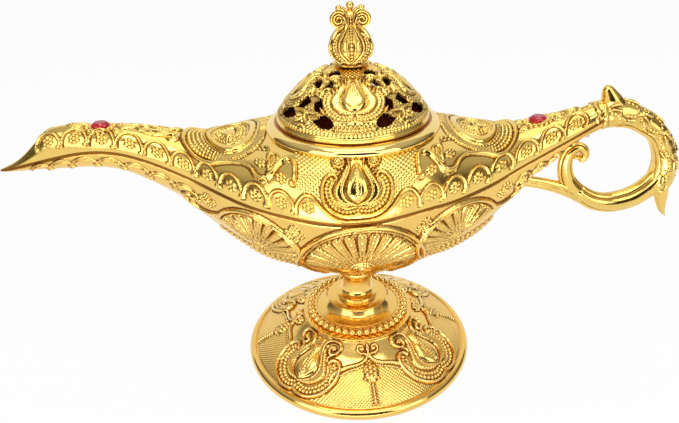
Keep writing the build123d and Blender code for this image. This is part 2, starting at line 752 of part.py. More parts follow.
# The handle: one casting of an arm that curls over and down to a leaf point, a lower arm
# that runs back to the bowl, and a scroll that rolls up inside them. Each limb is a row of
# stations: place past the tail's end and height over the tail's centre, both as shares of
# the handle's span, and half thickness as a share of arm_size.
handle_span = handle_reach - tail_reach
upper_arm_shares = [(0.00, 0.00, 1.15), (0.19, 0.02, 1.10), (0.37, -0.02, 0.98), (0.53, -0.11, 0.86),
                    (0.68, -0.23, 0.78), (0.78, -0.40, 0.80), (0.84, -0.59, 0.94), (0.82, -0.78, 0.98),
                    (0.77, -0.94, 0.88)]
spike_shares = [(0.86, -0.81, 0.80), (0.88, -1.01, 0.60), (0.93, -1.15, 0.34), (0.99, -1.26, 0.06)]
lower_arm_shares = [(0.80, -0.85, 0.96), (0.66, -0.96, 0.92), (0.50, -1.02, 0.92), (0.31, -1.08, 0.88),
                    (0.11, -1.05, 0.80), (-0.07, -0.93, 0.72), (-0.32, -0.83, 0.52), (-0.58, -0.76, 0.48),
                    (-0.83, -0.71, 0.50)]
scroll_shares = [(-0.03, -0.91, 0.60), (-0.16, -0.83, 0.56), (-0.25, -0.70, 0.55), (-0.28, -0.54, 0.54),
                 (-0.25, -0.42, 0.48), (-0.17, -0.35, 0.44), (-0.08, -0.39, 0.38), (-0.06, -0.48, 0.34),
                 (-0.11, -0.52, 0.28)]
sprout_shares = [(0.24, 0.04, 0.70), (0.14, 0.18, 0.46), (0.05, 0.28, 0.30), (0.02, 0.33, 0.12)]
curl_ball_share = (-0.15, -0.46, 0.44)
arm_flatness = 0.92


def handle_point(along, rise):
    """A point of the handle in its upright plane, from its two shares of the span."""
    return Vector(tail_reach + along * handle_span, 0, tail_height + rise * handle_span)


def limb(shares):
    """Loft one limb of the handle through ovals set square to its path."""
    points = [handle_point(x, z) for x, z, size in shares]
    with BuildPart() as solid:
        for i, (x, z, size) in enumerate(shares):
            ahead = points[min(i + 1, len(points) - 1)] - points[max(i - 1, 0)]
            with BuildSketch(Plane(points[i], x_dir=(0, 1, 0), z_dir=ahead)):
                Ellipse(size * arm_size * arm_flatness, size * arm_size)
        loft()
    return solid.part


# A plug on the handle fills the open tail, with a thin clearance all round.
plug_inset = shell_wall + plug_clearance
with BuildPart() as handle_plug:
    for half in (-1, 1):
        add(body_loft(half, plug_inset, 0, -cavity_spout_reach))
    with BuildSketch(Plane.YZ.offset(plug_start)):
        with Locations((0, tail_height)):
            Rectangle(2 * bowl_half_width, 2 * bowl_depth)
    extrude(amount=tail_reach - plug_start, mode=Mode.INTERSECT)

with BuildPart() as handle:
    for shares in (upper_arm_shares, spike_shares, lower_arm_shares, scroll_shares, sprout_shares):
        add(limb(shares))
    with Locations(handle_point(*curl_ball_share[:2])):
        Sphere(curl_ball_share[2] * arm_size)
    add(upper_body, mode=Mode.SUBTRACT)
    add(lower_body, mode=Mode.SUBTRACT)
    with BuildSketch(Plane.YZ.offset(tail_reach - overrun)):
        with Locations((0, tail_height)):
            Rectangle(2 * overrun, 2 * overrun)
    extrude(amount=overrun, mode=Mode.SUBTRACT)
    add(handle_plug.part)
    add(handle_screws.part, mode=Mode.SUBTRACT)
handle.part.label = "handle"
export_step(handle.part, "parts/handle.step")
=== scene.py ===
import bpy
import numpy as np
from mathutils import Matrix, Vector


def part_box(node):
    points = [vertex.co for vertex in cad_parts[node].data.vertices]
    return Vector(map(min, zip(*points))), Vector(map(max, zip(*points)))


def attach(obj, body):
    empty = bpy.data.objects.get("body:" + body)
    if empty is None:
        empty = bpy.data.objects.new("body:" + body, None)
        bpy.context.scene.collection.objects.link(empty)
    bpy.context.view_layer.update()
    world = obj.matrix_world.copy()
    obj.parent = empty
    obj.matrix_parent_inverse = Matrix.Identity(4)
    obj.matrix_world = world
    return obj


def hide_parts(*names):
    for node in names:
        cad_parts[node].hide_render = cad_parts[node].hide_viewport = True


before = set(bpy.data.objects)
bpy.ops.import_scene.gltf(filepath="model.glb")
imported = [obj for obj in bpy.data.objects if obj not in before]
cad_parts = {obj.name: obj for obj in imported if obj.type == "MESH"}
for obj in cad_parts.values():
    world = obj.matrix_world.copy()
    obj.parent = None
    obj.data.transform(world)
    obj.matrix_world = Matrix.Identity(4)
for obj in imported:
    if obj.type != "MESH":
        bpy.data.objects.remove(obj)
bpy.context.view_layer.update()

MM = 0.001


# Upper shell
# The lamp's roof: shoulder, spout roof and tail roof in one thin zinc casting, plated in
# bright gold. Arches with flowers run along its seam, a ribbon and nets lie round the
# collar, and palmettes fill the front, the back and both shoulders.
spout_reach, tail_reach = 134.5, 91.0
bowl_half_width, bowl_depth, seam_height, crown_rise = 40.0, 38.4, 82.7, 24.3
station_shares = np.array([
    (-1.000, 0.020, 0.180, 0.016, 0.020, 0.55), (-0.937, 0.060, 0.240, 0.070, 0.095, 0.55),
    (-0.892, 0.085, 0.281, 0.102, 0.235, 0.55), (-0.848, 0.108, 0.320, 0.138, 0.379, 0.55),
    (-0.714, 0.165, 0.404, 0.216, 0.305, 0.55), (-0.632, 0.195, 0.385, 0.260, 0.321, 0.55),
    (-0.558, 0.240, 0.318, 0.331, 0.366, 0.56), (-0.483, 0.310, 0.229, 0.419, 0.424, 0.58),
    (-0.416, 0.415, 0.159, 0.568, 0.486, 0.60), (-0.342, 0.590, 0.109, 0.714, 0.564, 0.64),
    (-0.268, 0.762, 0.076, 0.849, 0.642, 0.70), (-0.178, 0.900, 0.039, 0.927, 0.815, 0.75),
    (0.000, 1.000, 0.000, 1.000, 1.000, 0.75), (0.264, 0.840, 0.034, 0.948, 0.823, 0.75),
    (0.374, 0.715, 0.040, 0.875, 0.716, 0.70), (0.462, 0.600, 0.058, 0.805, 0.613, 0.66),
    (0.550, 0.480, 0.086, 0.677, 0.543, 0.62), (0.637, 0.375, 0.146, 0.490, 0.457, 0.58),
    (0.725, 0.290, 0.216, 0.333, 0.403, 0.56), (0.813, 0.225, 0.297, 0.232, 0.350, 0.55),
    (0.901, 0.175, 0.390, 0.150, 0.272, 0.55), (1.000, 0.138, 0.520, 0.159, 0.218, 0.55)])
place = station_shares[:, 0] * np.where(station_shares[:, 0] < 0, spout_reach, tail_reach)
seam_rows = seam_height + station_shares[:, 2] * bowl_depth
station_rows = {"width": station_shares[:, 1] * bowl_half_width, "seam": seam_rows,
                "keel": seam_rows - station_shares[:, 3] * bowl_depth,
                "ridge": seam_rows + station_shares[:, 4] * crown_rise, "full": station_shares[:, 5]}
round_share = 0.5523


def body(x, name):
    """One body size at x: a natural cubic spline through the stations. Its bends at the
    knots solve a three-band system that keeps the slope steady from stretch to stretch."""
    xs, ys = place, station_rows[name]
    gap = np.diff(xs)
    slope = np.diff(ys) / gap
    band = np.eye(len(xs))
    rows = np.arange(1, len(xs) - 1)
    band[rows, rows - 1], band[rows, rows + 1] = gap[:-1], gap[1:]
    band[rows, rows] = 2 * (gap[:-1] + gap[1:])
    bend = np.linalg.solve(band, np.concatenate(([0], 6 * np.diff(slope), [0])))
    i = np.clip(np.searchsorted(xs, x) - 1, 0, len(gap) - 1)
    a, b, h = x - xs[i], xs[i + 1] - x, gap[i]
    return ((bend[i] * b ** 3 + bend[i + 1] * a ** 3) / (6 * h)
            + (ys[i] / h - bend[i] * h / 6) * b + (ys[i + 1] / h - bend[i + 1] * h / 6) * a)


def body_grid(x, top, shares, hole=0.0):
    """The body's front half on rows by columns. A column is the cubic from the seam, with
    two control points set by the fullness, to the ridge or keel, or to the rim of a round
    hole, cut at the given shares of its length. Also gives the lengths from the seam."""
    t = np.linspace(0, 1, 240)[:, None]
    width, seam, end = body(x, "width"), body(x, "seam"), body(x, top)
    full = body(x, "full") if top == "ridge" else round_share
    lift = seam + (end - seam) * full
    y = -width * ((1 - t) ** 3 + 3 * (1 - t) ** 2 * t + 3 * (1 - t) * t ** 2 * full)
    z = (1 - t) ** 3 * seam + 3 * (1 - t) ** 2 * t * lift + (3 * (1 - t) * t ** 2 + t ** 3) * end
    run = np.vstack((np.zeros(len(x)), np.cumsum(np.hypot(np.diff(y, axis=0), np.diff(z, axis=0)), axis=0)))
    rim = -np.sqrt(np.clip(hole ** 2 - x ** 2, 0, None))
    grid, lengths = np.empty((len(shares), len(x), 3)), np.empty((len(shares), len(x)))
    for i in range(len(x)):
        lengths[:, i] = shares * np.interp(rim[i], y[:, i], run[:, i])
        grid[:, i, 1] = np.interp(lengths[:, i], run[:, i], y[:, i])
        grid[:, i, 2] = np.interp(lengths[:, i], run[:, i], z[:, i])
    grid[:, :, 0] = x
    return grid, lengths, np.broadcast_to(run[-1], lengths.shape)


def unit(vectors):
    """Each vector divided by its length."""
    return vectors / np.maximum(np.linalg.norm(vectors, axis=-1, keepdims=True), 1e-9)


def grid_normals(grid):
    """Unit normals: the cross product of the steps along and across the grid. Where the
    two mirrored halves meet they lie in the plane of the meeting."""
    normal = unit(np.cross(np.gradient(grid, axis=1), np.gradient(grid, axis=0)))
    normal[np.abs(grid[:, :, 1]) < 1e-3, 1] = 0
    return unit(normal)


def hollows(height, reach=2, full_depth=0.28):
    """How deep each point lies under the mean height round it: -1 on a crest, 1 in a pit."""
    mean = height
    for axis in (0, 1):
        padded = np.pad(mean, [(reach + 1, reach) if a == axis else (0, 0) for a in (0, 1)], "edge")
        total = np.cumsum(padded, axis=axis)
        mean = (np.take(total, np.arange(2 * reach + 1, total.shape[axis]), axis=axis)
                - np.take(total, np.arange(total.shape[axis] - 2 * reach - 1), axis=axis)) / (2 * reach + 1)
    return np.clip((mean - height) / full_depth, -1, 1)


def node(tree, kind, at, feeds=None, **settings):
    """A shader node at its place in the drawing. Its feeds say what its inputs take: another
    node's output, or a plain number or colour."""
    made = tree.nodes.new(kind)
    made.location = at
    for key, value in settings.items():
        setattr(made, key, value)
    for key, value in (feeds or {}).items():
        if isinstance(value, bpy.types.NodeSocket):
            tree.links.new(value, made.inputs[key])
        else:
            made.inputs[key].default_value = value
    return made


def ranged(tree, at, value, before, after=(0, 1), kind="SMOOTHSTEP"):
    """A value carried from the range before to the range after, eased at both ends or LINEAR."""
    feeds = {"Value": value, "From Min": before[0], "From Max": before[1], "To Min": after[0],
             "To Max": after[1]}
    return node(tree, "ShaderNodeMapRange", at, feeds, interpolation_type=kind).outputs["Result"]


def times_plus(tree, at, value, factor, added):
    """The value times the factor, plus what is added."""
    return node(tree, "ShaderNodeMath", at, {0: value, 1: factor, 2: added},
                operation="MULTIPLY_ADD").outputs[0]


def blended(tree, at, share, first, second):
    """The first colour carried toward the second by the share."""
    feeds = {"Factor": share, "A": first, "B": second}
    return node(tree, "ShaderNodeMix", at, feeds, data_type="RGBA").outputs["Result"]


def noise(tree, at, scale, detail):
    """Soft noise in the object's own coordinates, with scale cells to a metre."""
    spot = node(tree, "ShaderNodeTexCoord", (at[0] - 250, at[1])).outputs["Object"]
    return node(tree, "ShaderNodeTexNoise", at,
                {"Vector": spot, "Scale": scale, "Detail": detail}).outputs["Fac"]


unplated = 2.0  # the point value that marks the bare inside of a casting
bare_copper = (0.95, 0.34, 0.18)


def plated_group():
    """Colour, shine, roughness and grain of a plated casting. Its point value of painted shading
    and age, with a mottle, paints shade into the hollows and a highlight onto the crests, and
    values near the unplated value bare the copper."""
    tree = bpy.data.node_groups.new("plated_casting", "ShaderNodeTree")
    for way, kind, labels in (("INPUT", "Color", ("Bright", "Deep", "Highlight", "Inside")),
                              ("INPUT", "Float", ("Polish", "Grain")), ("OUTPUT", "Color", ("Colour",)),
                              ("OUTPUT", "Float", ("Metallic", "Roughness")),
                              ("OUTPUT", "Vector", ("Normal",))):
        for label in labels:
            tree.interface.new_socket(label, in_out=way, socket_type="NodeSocket" + kind)
    given = node(tree, "NodeGroupInput", (-900, 0)).outputs
    shading_and_age = node(tree, "ShaderNodeAttribute", (-900, 300), attribute_name="shading_and_age").outputs["Fac"]
    cloud, mottle, grain = (noise(tree, (-650, -300), *sizes) for sizes in ((55, 3), (420, 4), (2600, 3)))
    # Painted shade: the point value darkens the hollows toward Deep, with the parts' age and a mottle.
    shading_and_soil = times_plus(tree, (-400, 300), mottle, 0.5, shading_and_age)
    shade_and_tarnish = ranged(tree, (-200, 300), shading_and_soil, (0.42, 1.00), (0, 0.95))
    # Painted highlight: the crests go pale toward the highlight colour.
    crest_highlight = ranged(tree, (-200, 100), shading_and_soil, (0.05, -0.75), (0, 0.75))
    tint = ranged(tree, (-200, -100), cloud, (0.35, 0.70), (0, 0.10), "LINEAR")
    bare = ranged(tree, (-200, 500), shading_and_age, (0.65 * unplated, 0.85 * unplated))
    colour = given["Bright"]
    for share, other in ((tint, "Deep"), (shade_and_tarnish, "Deep"), (crest_highlight, "Highlight"), (bare, "Inside")):
        colour = blended(tree, (100, 200), share, colour, given[other])
    shine = ranged(tree, (500, 300), bare, (0, 1), (1, 0), "LINEAR")
    dull = times_plus(tree, (300, 0), shade_and_tarnish, 0.28, given["Polish"])
    rough = times_plus(tree, (500, 0), mottle, 0.10, dull)
    bumps = {"Height": mottle, "Distance": 0.06 * MM, "Strength": given["Grain"]}
    bumps["Normal"] = node(tree, "ShaderNodeBump", (300, -300), bumps).outputs["Normal"]
    bumps.update({"Height": grain, "Distance": 0.02 * MM})
    fine = node(tree, "ShaderNodeBump", (500, -300), bumps).outputs["Normal"]
    node(tree, "NodeGroupOutput", (900, 0),
         {"Colour": colour, "Metallic": shine, "Roughness": rough, "Normal": fine})
    return tree


plated = plated_group()
finishes = {}


def metal(name, bright, deep, highlight, polish, grain):
    """A plated metal: the shared finish with its own colours, polish and grain."""
    made = bpy.data.materials.new(name + "_finish")
    made.use_nodes = True
    tree = made.node_tree
    feeds = {"Bright": (*bright, 1), "Deep": (*deep, 1), "Highlight": (*highlight, 1), "Inside": (*bare_copper, 1),
             "Polish": polish, "Grain": grain}
    finish = node(tree, "ShaderNodeGroup", (-300, 0), feeds, node_tree=plated).outputs
    shader = tree.nodes["Principled BSDF"].inputs
    for label, target in (("Colour", "Base Color"), ("Metallic", "Metallic"), ("Roughness", "Roughness"),
                          ("Normal", "Normal")):
        tree.links.new(finish[label], shader[target])
    finishes[name] = made


metal("gold_upper", bright=(0.93, 0.645, 0.17), deep=(0.20, 0.075, 0.008), highlight=(1.0, 0.85, 0.42),
      polish=0.08, grain=0.5)


def add_piece(name, points, faces, normals, shading_and_age, carrier, slot, *replaced):
    """A smooth mesh with its exact normals and with its painted shading and age as a point value,
    set on the CAD body that carries it."""
    mesh = bpy.data.meshes.new(name)
    mesh.from_pydata((points * MM).tolist(), [], faces)
    mesh.polygons.foreach_set("use_smooth", np.ones(len(faces), bool))
    if normals is not None:
        mesh.normals_split_custom_set_from_vertices(normals.tolist())
    mesh.attributes.new("shading_and_age", "FLOAT", "POINT").data.foreach_set("value", shading_and_age.astype(np.float32))
    piece = bpy.data.objects.new(name, mesh)
    bpy.context.collection.objects.link(piece)
    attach(piece, carrier)
    if replaced:
        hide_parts(*replaced)
    mesh.materials.append(finishes[slot])
    return piece


def quads(ids):
    """The four corners of every cell of a grid of point numbers."""
    return np.stack((ids[:-1, :-1], ids[:-1, 1:], ids[1:, 1:], ids[1:, :-1]), -1).reshape(-1, 4)


shell_wall, coarse_step = 1.9, 10
solid_spout, solid_tail = -96, 80  # the casting is solid beyond these x


def inner_face(grid):
    """The inner side, on every tenth line of the grid: each point moves toward its section's
    middle by the wall, by less than half of the way where the section is slender, and by
    nearly all of it where the casting is solid."""
    grid = grid[::coarse_step, ::coarse_step]
    middle = np.zeros_like(grid)
    middle[:, :, 0] = grid[:, :, 0]
    middle[:, :, 2] = body(grid[0, :, 0], "seam")
    away = grid - middle
    reach = np.maximum(np.linalg.norm(away, axis=2, keepdims=True), 1e-6)
    solid = (grid[:, :, :1] < solid_spout) | (grid[:, :, :1] > solid_tail)
    return grid - away * np.minimum(np.where(solid, reach, shell_wall) / reach, np.where(solid, 0.97, 0.45))


def cast_shell(part, grid, height, run, seam_shade_width, slot):
    """Both closed halves of a shell, the back as the mirror of the front: the raised outer
    grid, the coarse inner grid and a rim of long faces that joins each inner edge to the
    stretch of outer edges beside it. Painted shade lies along the seam over the given width."""
    outer, inner = grid + grid_normals(grid) * height[:, :, None], inner_face(grid)
    ids = np.arange(height.size).reshape(height.shape)
    low = height.size + np.arange(inner[:, :, 0].size).reshape(inner.shape[:2])
    faces = quads(ids).tolist() + quads(low)[:, ::-1].tolist()
    for fine, coarse in ((ids[0, ::-1], low[0, ::-1]), (ids[:, 0], low[:, 0]), (ids[-1], low[-1]),
                         (ids[::-1, -1], low[::-1, -1])):
        for j in range(len(coarse) - 1):
            stretch = fine[j * coarse_step:(j + 1) * coarse_step + 1]
            faces.append([*stretch.tolist(), coarse[j + 1], coarse[j]])
    points = np.concatenate((outer.reshape(-1, 3), inner.reshape(-1, 3)))
    normals = np.concatenate((grid_normals(outer).reshape(-1, 3), -grid_normals(inner).reshape(-1, 3)))
    # Painted shading: the hollows darken and the crests pale, and a strip along the seam is darkened as
    # painted shade.
    shading_and_dirt = np.maximum(hollows(height), 1.4 * np.clip(2 - 2 * run / seam_shade_width, 0, 1) - 0.2)
    shading_and_age = np.concatenate((shading_and_dirt.ravel(), np.full(low.size, unplated)))
    add_piece(part + "_front", points, faces, normals, shading_and_age, "root", slot, part)
    faces = [face[::-1] for face in faces]
    add_piece(part + "_back", points * (1, -1, 1), faces, normals * (1, -1, 1), shading_and_age, "root", slot, part)


def smooth_path(points, steps=7):
    """A smooth line through given points: each stretch is a cubic whose end slopes are
    half of the step between the neighbours on either side."""
    p = np.asarray(points, float)
    p = np.vstack((2 * p[0] - p[1], p, 2 * p[-1] - p[-2]))
    t = np.linspace(0, 1, steps, endpoint=False)[:, None, None]
    a, b, c, d = p[:-3], p[1:-2], p[2:-1], p[3:]
    curve = 0.5 * (2 * b + (c - a) * t + (2 * a - 5 * b + 4 * c - d) * t ** 2
                   + (3 * b - a - 3 * c + d) * t ** 3)
    return np.vstack((curve.transpose(1, 0, 2).reshape(-1, p.shape[1]), p[-2]))


def lengths_along(path):
    """Length from a path's first point to each of its points: the sum of the steps so far."""
    return np.concatenate(([0], np.cumsum(np.hypot(*np.diff(path, axis=0).T))))


def cut_path(path, count):
    """That many evenly spaced points on a path, and their lengths from its start."""
    run = lengths_along(path)
    at = np.linspace(0, run[-1], count)
    return np.stack((np.interp(at, run, path[:, 0]), np.interp(at, run, path[:, 1])), -1), at


def ring_places(count, start=0.0):
    """Cosine and sine of a whole turn cut into that many equal steps."""
    turns = start + np.arange(count) * 2 * np.pi / count
    return np.stack((np.cos(turns), np.sin(turns)), -1)


def dome_rise(gap, reach):
    """Half-round swell: 1 on the middle line, 0 at the reach."""
    return np.sqrt(np.clip(1 - (gap / reach) ** 2, 0, 1))


class Relief:
    """Raised ornament on a surface laid out flat: a and b are the flat places of its points
    in millimetres, and height is how far each one stands off the plain surface."""

    def __init__(self, a, b):
        self.a, self.b, self.shape = a.ravel(), b.ravel(), a.shape
        self.height = np.zeros(a.size)

    def near(self, points, reach):
        """Numbers of the points in the box round the given ones, widened by the reach."""
        low, high = points.min(0) - reach, points.max(0) + reach
        return np.nonzero((self.a > low[0]) & (self.a < high[0]) & (self.b > low[1]) & (self.b < high[1]))[0]

    def distance(self, i, path):
        """Least distance from points i to a bent line, one straight stretch at a time."""
        best = np.full(len(i), 1e9)
        pa, pb = self.a[i], self.b[i]
        for (x0, y0), (x1, y1) in zip(path[:-1], path[1:]):
            dx, dy = x1 - x0, y1 - y0
            t = np.clip(((pa - x0) * dx + (pb - y0) * dy) / (dx * dx + dy * dy + 1e-12), 0, 1)
            best = np.minimum(best, (pa - x0 - t * dx) ** 2 + (pb - y0 - t * dy) ** 2)
        return np.sqrt(best)

    def inside(self, i, path):
        """Even-odd rule: a point is inside where a ray along a crosses the outline oddly."""
        odd = np.zeros(len(i), bool)
        pa, pb = self.a[i], self.b[i]
        for (x0, y0), (x1, y1) in zip(path, np.roll(path, -1, axis=0)):
            if y0 != y1:
                odd ^= ((y0 > pb) != (y1 > pb)) & (pa < (x1 - x0) * (pb - y0) / (y1 - y0) + x0)
        return odd

    def line(self, points, width, height):
        """A raised half-round line along a smooth path, width to either side."""
        path = smooth_path(points)
        i = self.near(path, width)
        self.height[i] = np.maximum(self.height[i], height * dome_rise(self.distance(i, path), width))

    def groove(self, points, width, depth):
        """A round-bottomed cut along a smooth path."""
        path = smooth_path(points)
        i = self.near(path, width)
        self.height[i] -= depth * dome_rise(self.distance(i, path), width)

    def beads(self, centres, radius, height, ground=0.0):
        """Half balls at the given centres."""
        for centre in np.atleast_2d(centres):
            i = self.near(centre[None], radius)
            gap = np.hypot(self.a[i] - centre[0], self.b[i] - centre[1])
            ball = np.where(gap < radius, ground + height * dome_rise(gap, radius), -1e9)
            self.height[i] = np.maximum(self.height[i], ball)

    def bead_row(self, points, radius, height, pitch, ground=0.0):
        """Half balls in even steps along a smooth path."""
        path = smooth_path(points)
        gaps = max(int(round(lengths_along(path)[-1] / pitch)), 1)
        self.beads(cut_path(path, gaps + 1)[0], radius, height, ground)

    def pad(self, outline, height, edge, ground=0.0):
        """A raised field inside a closed outline, rounded up from its rim over the edge."""
        path = np.asarray(outline, float)
        i = self.near(path, 0)
        i = i[self.inside(i, path)]
        rim = np.clip(self.distance(i, np.vstack((path, path[:1]))) / edge, 0, 1)
        self.height[i] = np.maximum(self.height[i], ground + height * np.sqrt(1 - (1 - rim) ** 2))

    def net(self, where, pitch, height):
        """Fine crossed rows: the product of two slanted waves raises diamonds on the ground."""
        a, b = self.a[where], self.b[where]
        wave = np.sin(np.pi * (a + b) / pitch) * np.sin(np.pi * (a - b) / pitch)
        self.height[where] += height * (np.sqrt(np.abs(wave)) - 0.6)


class Motif:
    """Draws on a relief in a motif's own millimetres: u across and v along its axis, scaled
    and set down at a place. Every element is drawn on both sides of the axis."""

    def __init__(self, relief, centre, scale=1.0, squeeze=1.0, lift=1.0):
        self.relief, self.centre = relief, np.array(centre, float)
        self.scale, self.squeeze, self.lift = scale, squeeze, lift

    def at(self, points, side=1):
        """Places on the relief: the points scaled, squeezed across and moved to the centre."""
        return self.centre + np.asarray(points, float) * self.scale * (side * self.squeeze, 1)

    def line(self, points, width, height):
        """The relief's raised line."""
        for side in (-1, 1):
            self.relief.line(self.at(points, side), width * self.scale, height * self.lift)

    def bead_row(self, points, radius, height, pitch, ground=0.0):
        """The relief's row of half balls."""
        for side in (-1, 1):
            self.relief.bead_row(self.at(points, side), radius * self.scale, height * self.lift,
                                 pitch * self.scale, ground * self.lift)

    def beads(self, points, radius, height, ground=0.0):
        """The relief's half balls."""
        for side in (-1, 1):
            self.relief.beads(self.at(points, side),
                              radius * self.scale, height * self.lift, ground * self.lift)

    def pad(self, half, height, edge, ground=0.0):
        """A field across the axis, whose outline is given on one side, from axis to axis."""
        path = smooth_path(half)
        outline = np.vstack((self.at(path), self.at(path[::-1], -1)))
        self.relief.pad(outline, height * self.lift, edge * self.scale, ground * self.lift)

    def side_pad(self, loop, height, edge, ground=0.0):
        """A field beside the axis, inside a closed smooth loop."""
        for side in (-1, 1):
            self.relief.pad(self.at(smooth_path(loop), side), height * self.lift, edge * self.scale,
                            ground * self.lift)


def palmette(relief, centre, scale=1.0, squeeze=1.0, lift=1.0, rolls=True):
    """The lamp's main ornament, 22 mm tall at scale 1: a swollen pear with a beaded rib, a
    lyre-shaped band round it, a border of beads in a raised outline, and on the lyre's tips
    a pair of beaded rolls or, on the foot, of open scrolls."""
    m = Motif(relief, centre, scale, squeeze, lift)
    outline = [(0, 3.9), (1.6, 3.2), (5.0, 3.1), (8.6, 4.6), (10.8, 7.4), (11.3, 11.0), (10.6, 14.0),
               (9.0, 16.0), (7.2, 16.3), (6.4, 15.2)]
    m.pad(outline + [(5.0, 17.0), (3.4, 19.6), (2.8, 22.0), (0, 22.2)], 0.40, 0.5)
    m.bead_row([(0, 4.9), (3.4, 4.3), (6.6, 5.1), (9.0, 7.4), (10.0, 10.8), (9.4, 13.6), (8.2, 15.0)],
               0.58, 0.62, 1.22, 0.38)
    m.bead_row([(0.8, 6.0), (3.6, 5.5), (6.4, 6.7), (8.4, 9.2), (8.8, 11.6), (8.1, 13.7)],
               0.52, 0.52, 1.1, 0.38)
    m.side_pad([(0.4, 6.6), (3.2, 6.6), (5.6, 7.7), (7.3, 9.8), (7.3, 12.0), (6.0, 14.3), (4.7, 16.4),
                (3.7, 18.6), (3.1, 19.8), (2.5, 18.6), (3.1, 16.2), (4.3, 13.6), (4.7, 11.0), (3.8, 8.9),
                (2.0, 7.6), (0.4, 6.6)], 0.95, 0.9, 0.30)
    m.bead_row([(1.2, 6.9), (3.9, 7.3), (6.0, 8.8), (6.7, 10.8), (6.1, 12.8), (4.9, 15.0), (3.8, 17.4)],
               0.42, 0.34, 0.92, 1.10)
    m.line(outline, 0.60, 1.35)
    m.pad([(0, 6.4), (2.0, 7.3), (4.0, 8.7), (4.8, 11.0), (4.4, 13.7), (3.2, 16.3), (2.5, 18.6), (2.4, 20.8),
           (0, 21.6)], 0.30, 0.6, 0.42)
    m.line([(0, 6.6), (2.0, 7.5), (3.9, 8.9), (4.7, 11.0), (4.3, 13.6), (3.1, 16.2), (2.4, 18.4),
            (2.3, 20.6)], 0.34, 1.35)
    m.pad([(0, 7.0), (1.9, 8.1), (3.5, 10.3), (3.7, 12.6), (2.8, 15.2), (1.6, 17.6), (1.0, 19.6), (0, 20.4)],
          1.15, 2.6, 0.62)
    m.line([(0.62, 8.8), (0.90, 12.0), (0.70, 15.5), (0.5, 18.6)], 0.18, 1.98)
    m.bead_row([(0, 8.6), (0, 13.0), (0, 18.8)], 0.40, 0.32, 0.95, 1.70)
    m.bead_row([(0.9, 19.6), (0.9, 20.8), (1.1, 22.0)], 0.42, 0.50, 0.95, 0.35)
    if rolls:
        m.side_pad([(3.2, 20.6), (4.2, 18.9), (5.9, 18.8), (7.3, 20.0), (7.4, 21.8), (6.2, 23.0), (4.4, 23.0),
                    (3.2, 20.6)], 0.55, 0.6, 0.20)
        m.line([(2.3, 20.4), (2.9, 22.4), (4.5, 23.5), (6.6, 23.2), (7.7, 21.4), (7.2, 19.4), (5.6, 18.6),
                (4.2, 19.5), (4.2, 21.2), (5.4, 21.9), (6.2, 21.0)], 0.40, 1.35)
        m.bead_row([(6.7, 20.2), (5.7, 19.6), (5.0, 20.4), (5.4, 21.2)], 0.40, 0.35, 0.8, 0.75)
        m.bead_row([(4.6, 18.4), (5.6, 17.4), (6.0, 16.6)], 0.45, 0.75, 0.95)
    else:
        m.line([(2.1, 19.4), (2.5, 21.4), (4.2, 22.6), (6.5, 22.2), (7.6, 20.4), (6.8, 18.5), (5.1, 18.2),
                (4.3, 19.5), (5.1, 20.6), (6.0, 20.1)], 0.50, 1.35)
        m.beads([(5.5, 19.8)], 0.55, 1.25)
        m.line([(6.2, 18.0), (5.2, 17.0), (5.4, 15.8)], 0.42, 1.05)


def resampled(points, count=48):
    """The same smooth line as evenly spaced points."""
    return cut_path(smooth_path(points), count)[0]


def shoulder_ovals(relief, side, reach):
    """Nested half ovals that hang over the ridge between collar and gem: an outer band of
    beads, a smooth crescent in double rims, and beaded arcs round a boss. They are measured
    as distance from the axis and length up from the seam; reach narrows their far side."""
    heart = np.array((47.0, 31.0))
    outer = resampled([(62.4, 40), (62.4, 27), (62.2, 21), (61.6, 16.6), (60.0, 12.8), (57.0, 10.7),
                       (53.2, 10.3), (49.0, 11.2), (44.6, 13.4), (40.6, 16.4), (37.2, 20.2), (34.4, 25),
                       (32.6, 31), (32.0, 40)])
    inner = resampled([(56.8, 40), (56.6, 30), (55.6, 22.5), (53.2, 18.0), (49.2, 15.7), (44.8, 16.2),
                       (40.8, 19.2), (37.8, 24), (36.0, 30), (35.2, 40)])

    def placed(path):
        """A path on its side of the axis, with what lies beyond the heart drawn in by reach."""
        far = np.where(path[:, 0] > heart[0], heart[0] + (path[:, 0] - heart[0]) * reach, path[:, 0])
        return np.stack((side * far, path[:, 1]), -1)

    relief.pad(np.vstack((placed(outer), placed(inner[::-1]))), 0.40, 0.5)
    for share in (0.14, 0.38, 0.62, 0.86):
        row = placed(outer + (inner - outer) * share)
        relief.bead_row(row[::2], 0.58, 0.55, 1.25, 0.38)
    relief.line(placed(inner)[::2], 0.46, 1.45)

    def shrunk(share):
        """The inner outline drawn in to the share of its distance from the heart."""
        return placed(heart + (inner - heart) * share)

    relief.pad(np.vstack((shrunk(0.93), shrunk(0.70)[::-1])), 1.35, 1.1, 0.10)
    for share, width, height in ((0.66, 0.30, 1.05), (0.34, 0.34, 1.25)):
        relief.line(shrunk(share)[::2], width, height)
    for share in (0.57, 0.48, 0.40):
        relief.bead_row(shrunk(share)[::2], 0.46, 0.60, 1.15, 0.30)
    relief.pad(shrunk(0.29), 1.15, 1.8, 0.10)


def flower(relief, centre, size=1.0):
    """Seven balls: one in the middle and six round it."""
    ring = ring_places(6, np.pi / 6) * 1.42 * size + centre
    relief.beads(np.vstack((ring, [centre])), 0.74 * size, 0.80)


def arch(relief, start, end, base, rise):
    """One bay of the arcade: an arch from foot to foot and the ball its far end curls in."""
    span = end - start
    bow = np.array([(0.00, 0.0), (0.04, 0.45), (0.20, 0.84), (0.48, 1.0), (0.76, 0.82), (0.92, 0.42),
                    (0.94, 0.08)])
    relief.line(bow * (span, rise) + (start, base), 0.50, 0.95)
    relief.beads([(end - 0.12 * span, base - 0.1)], 0.80, 1.15)


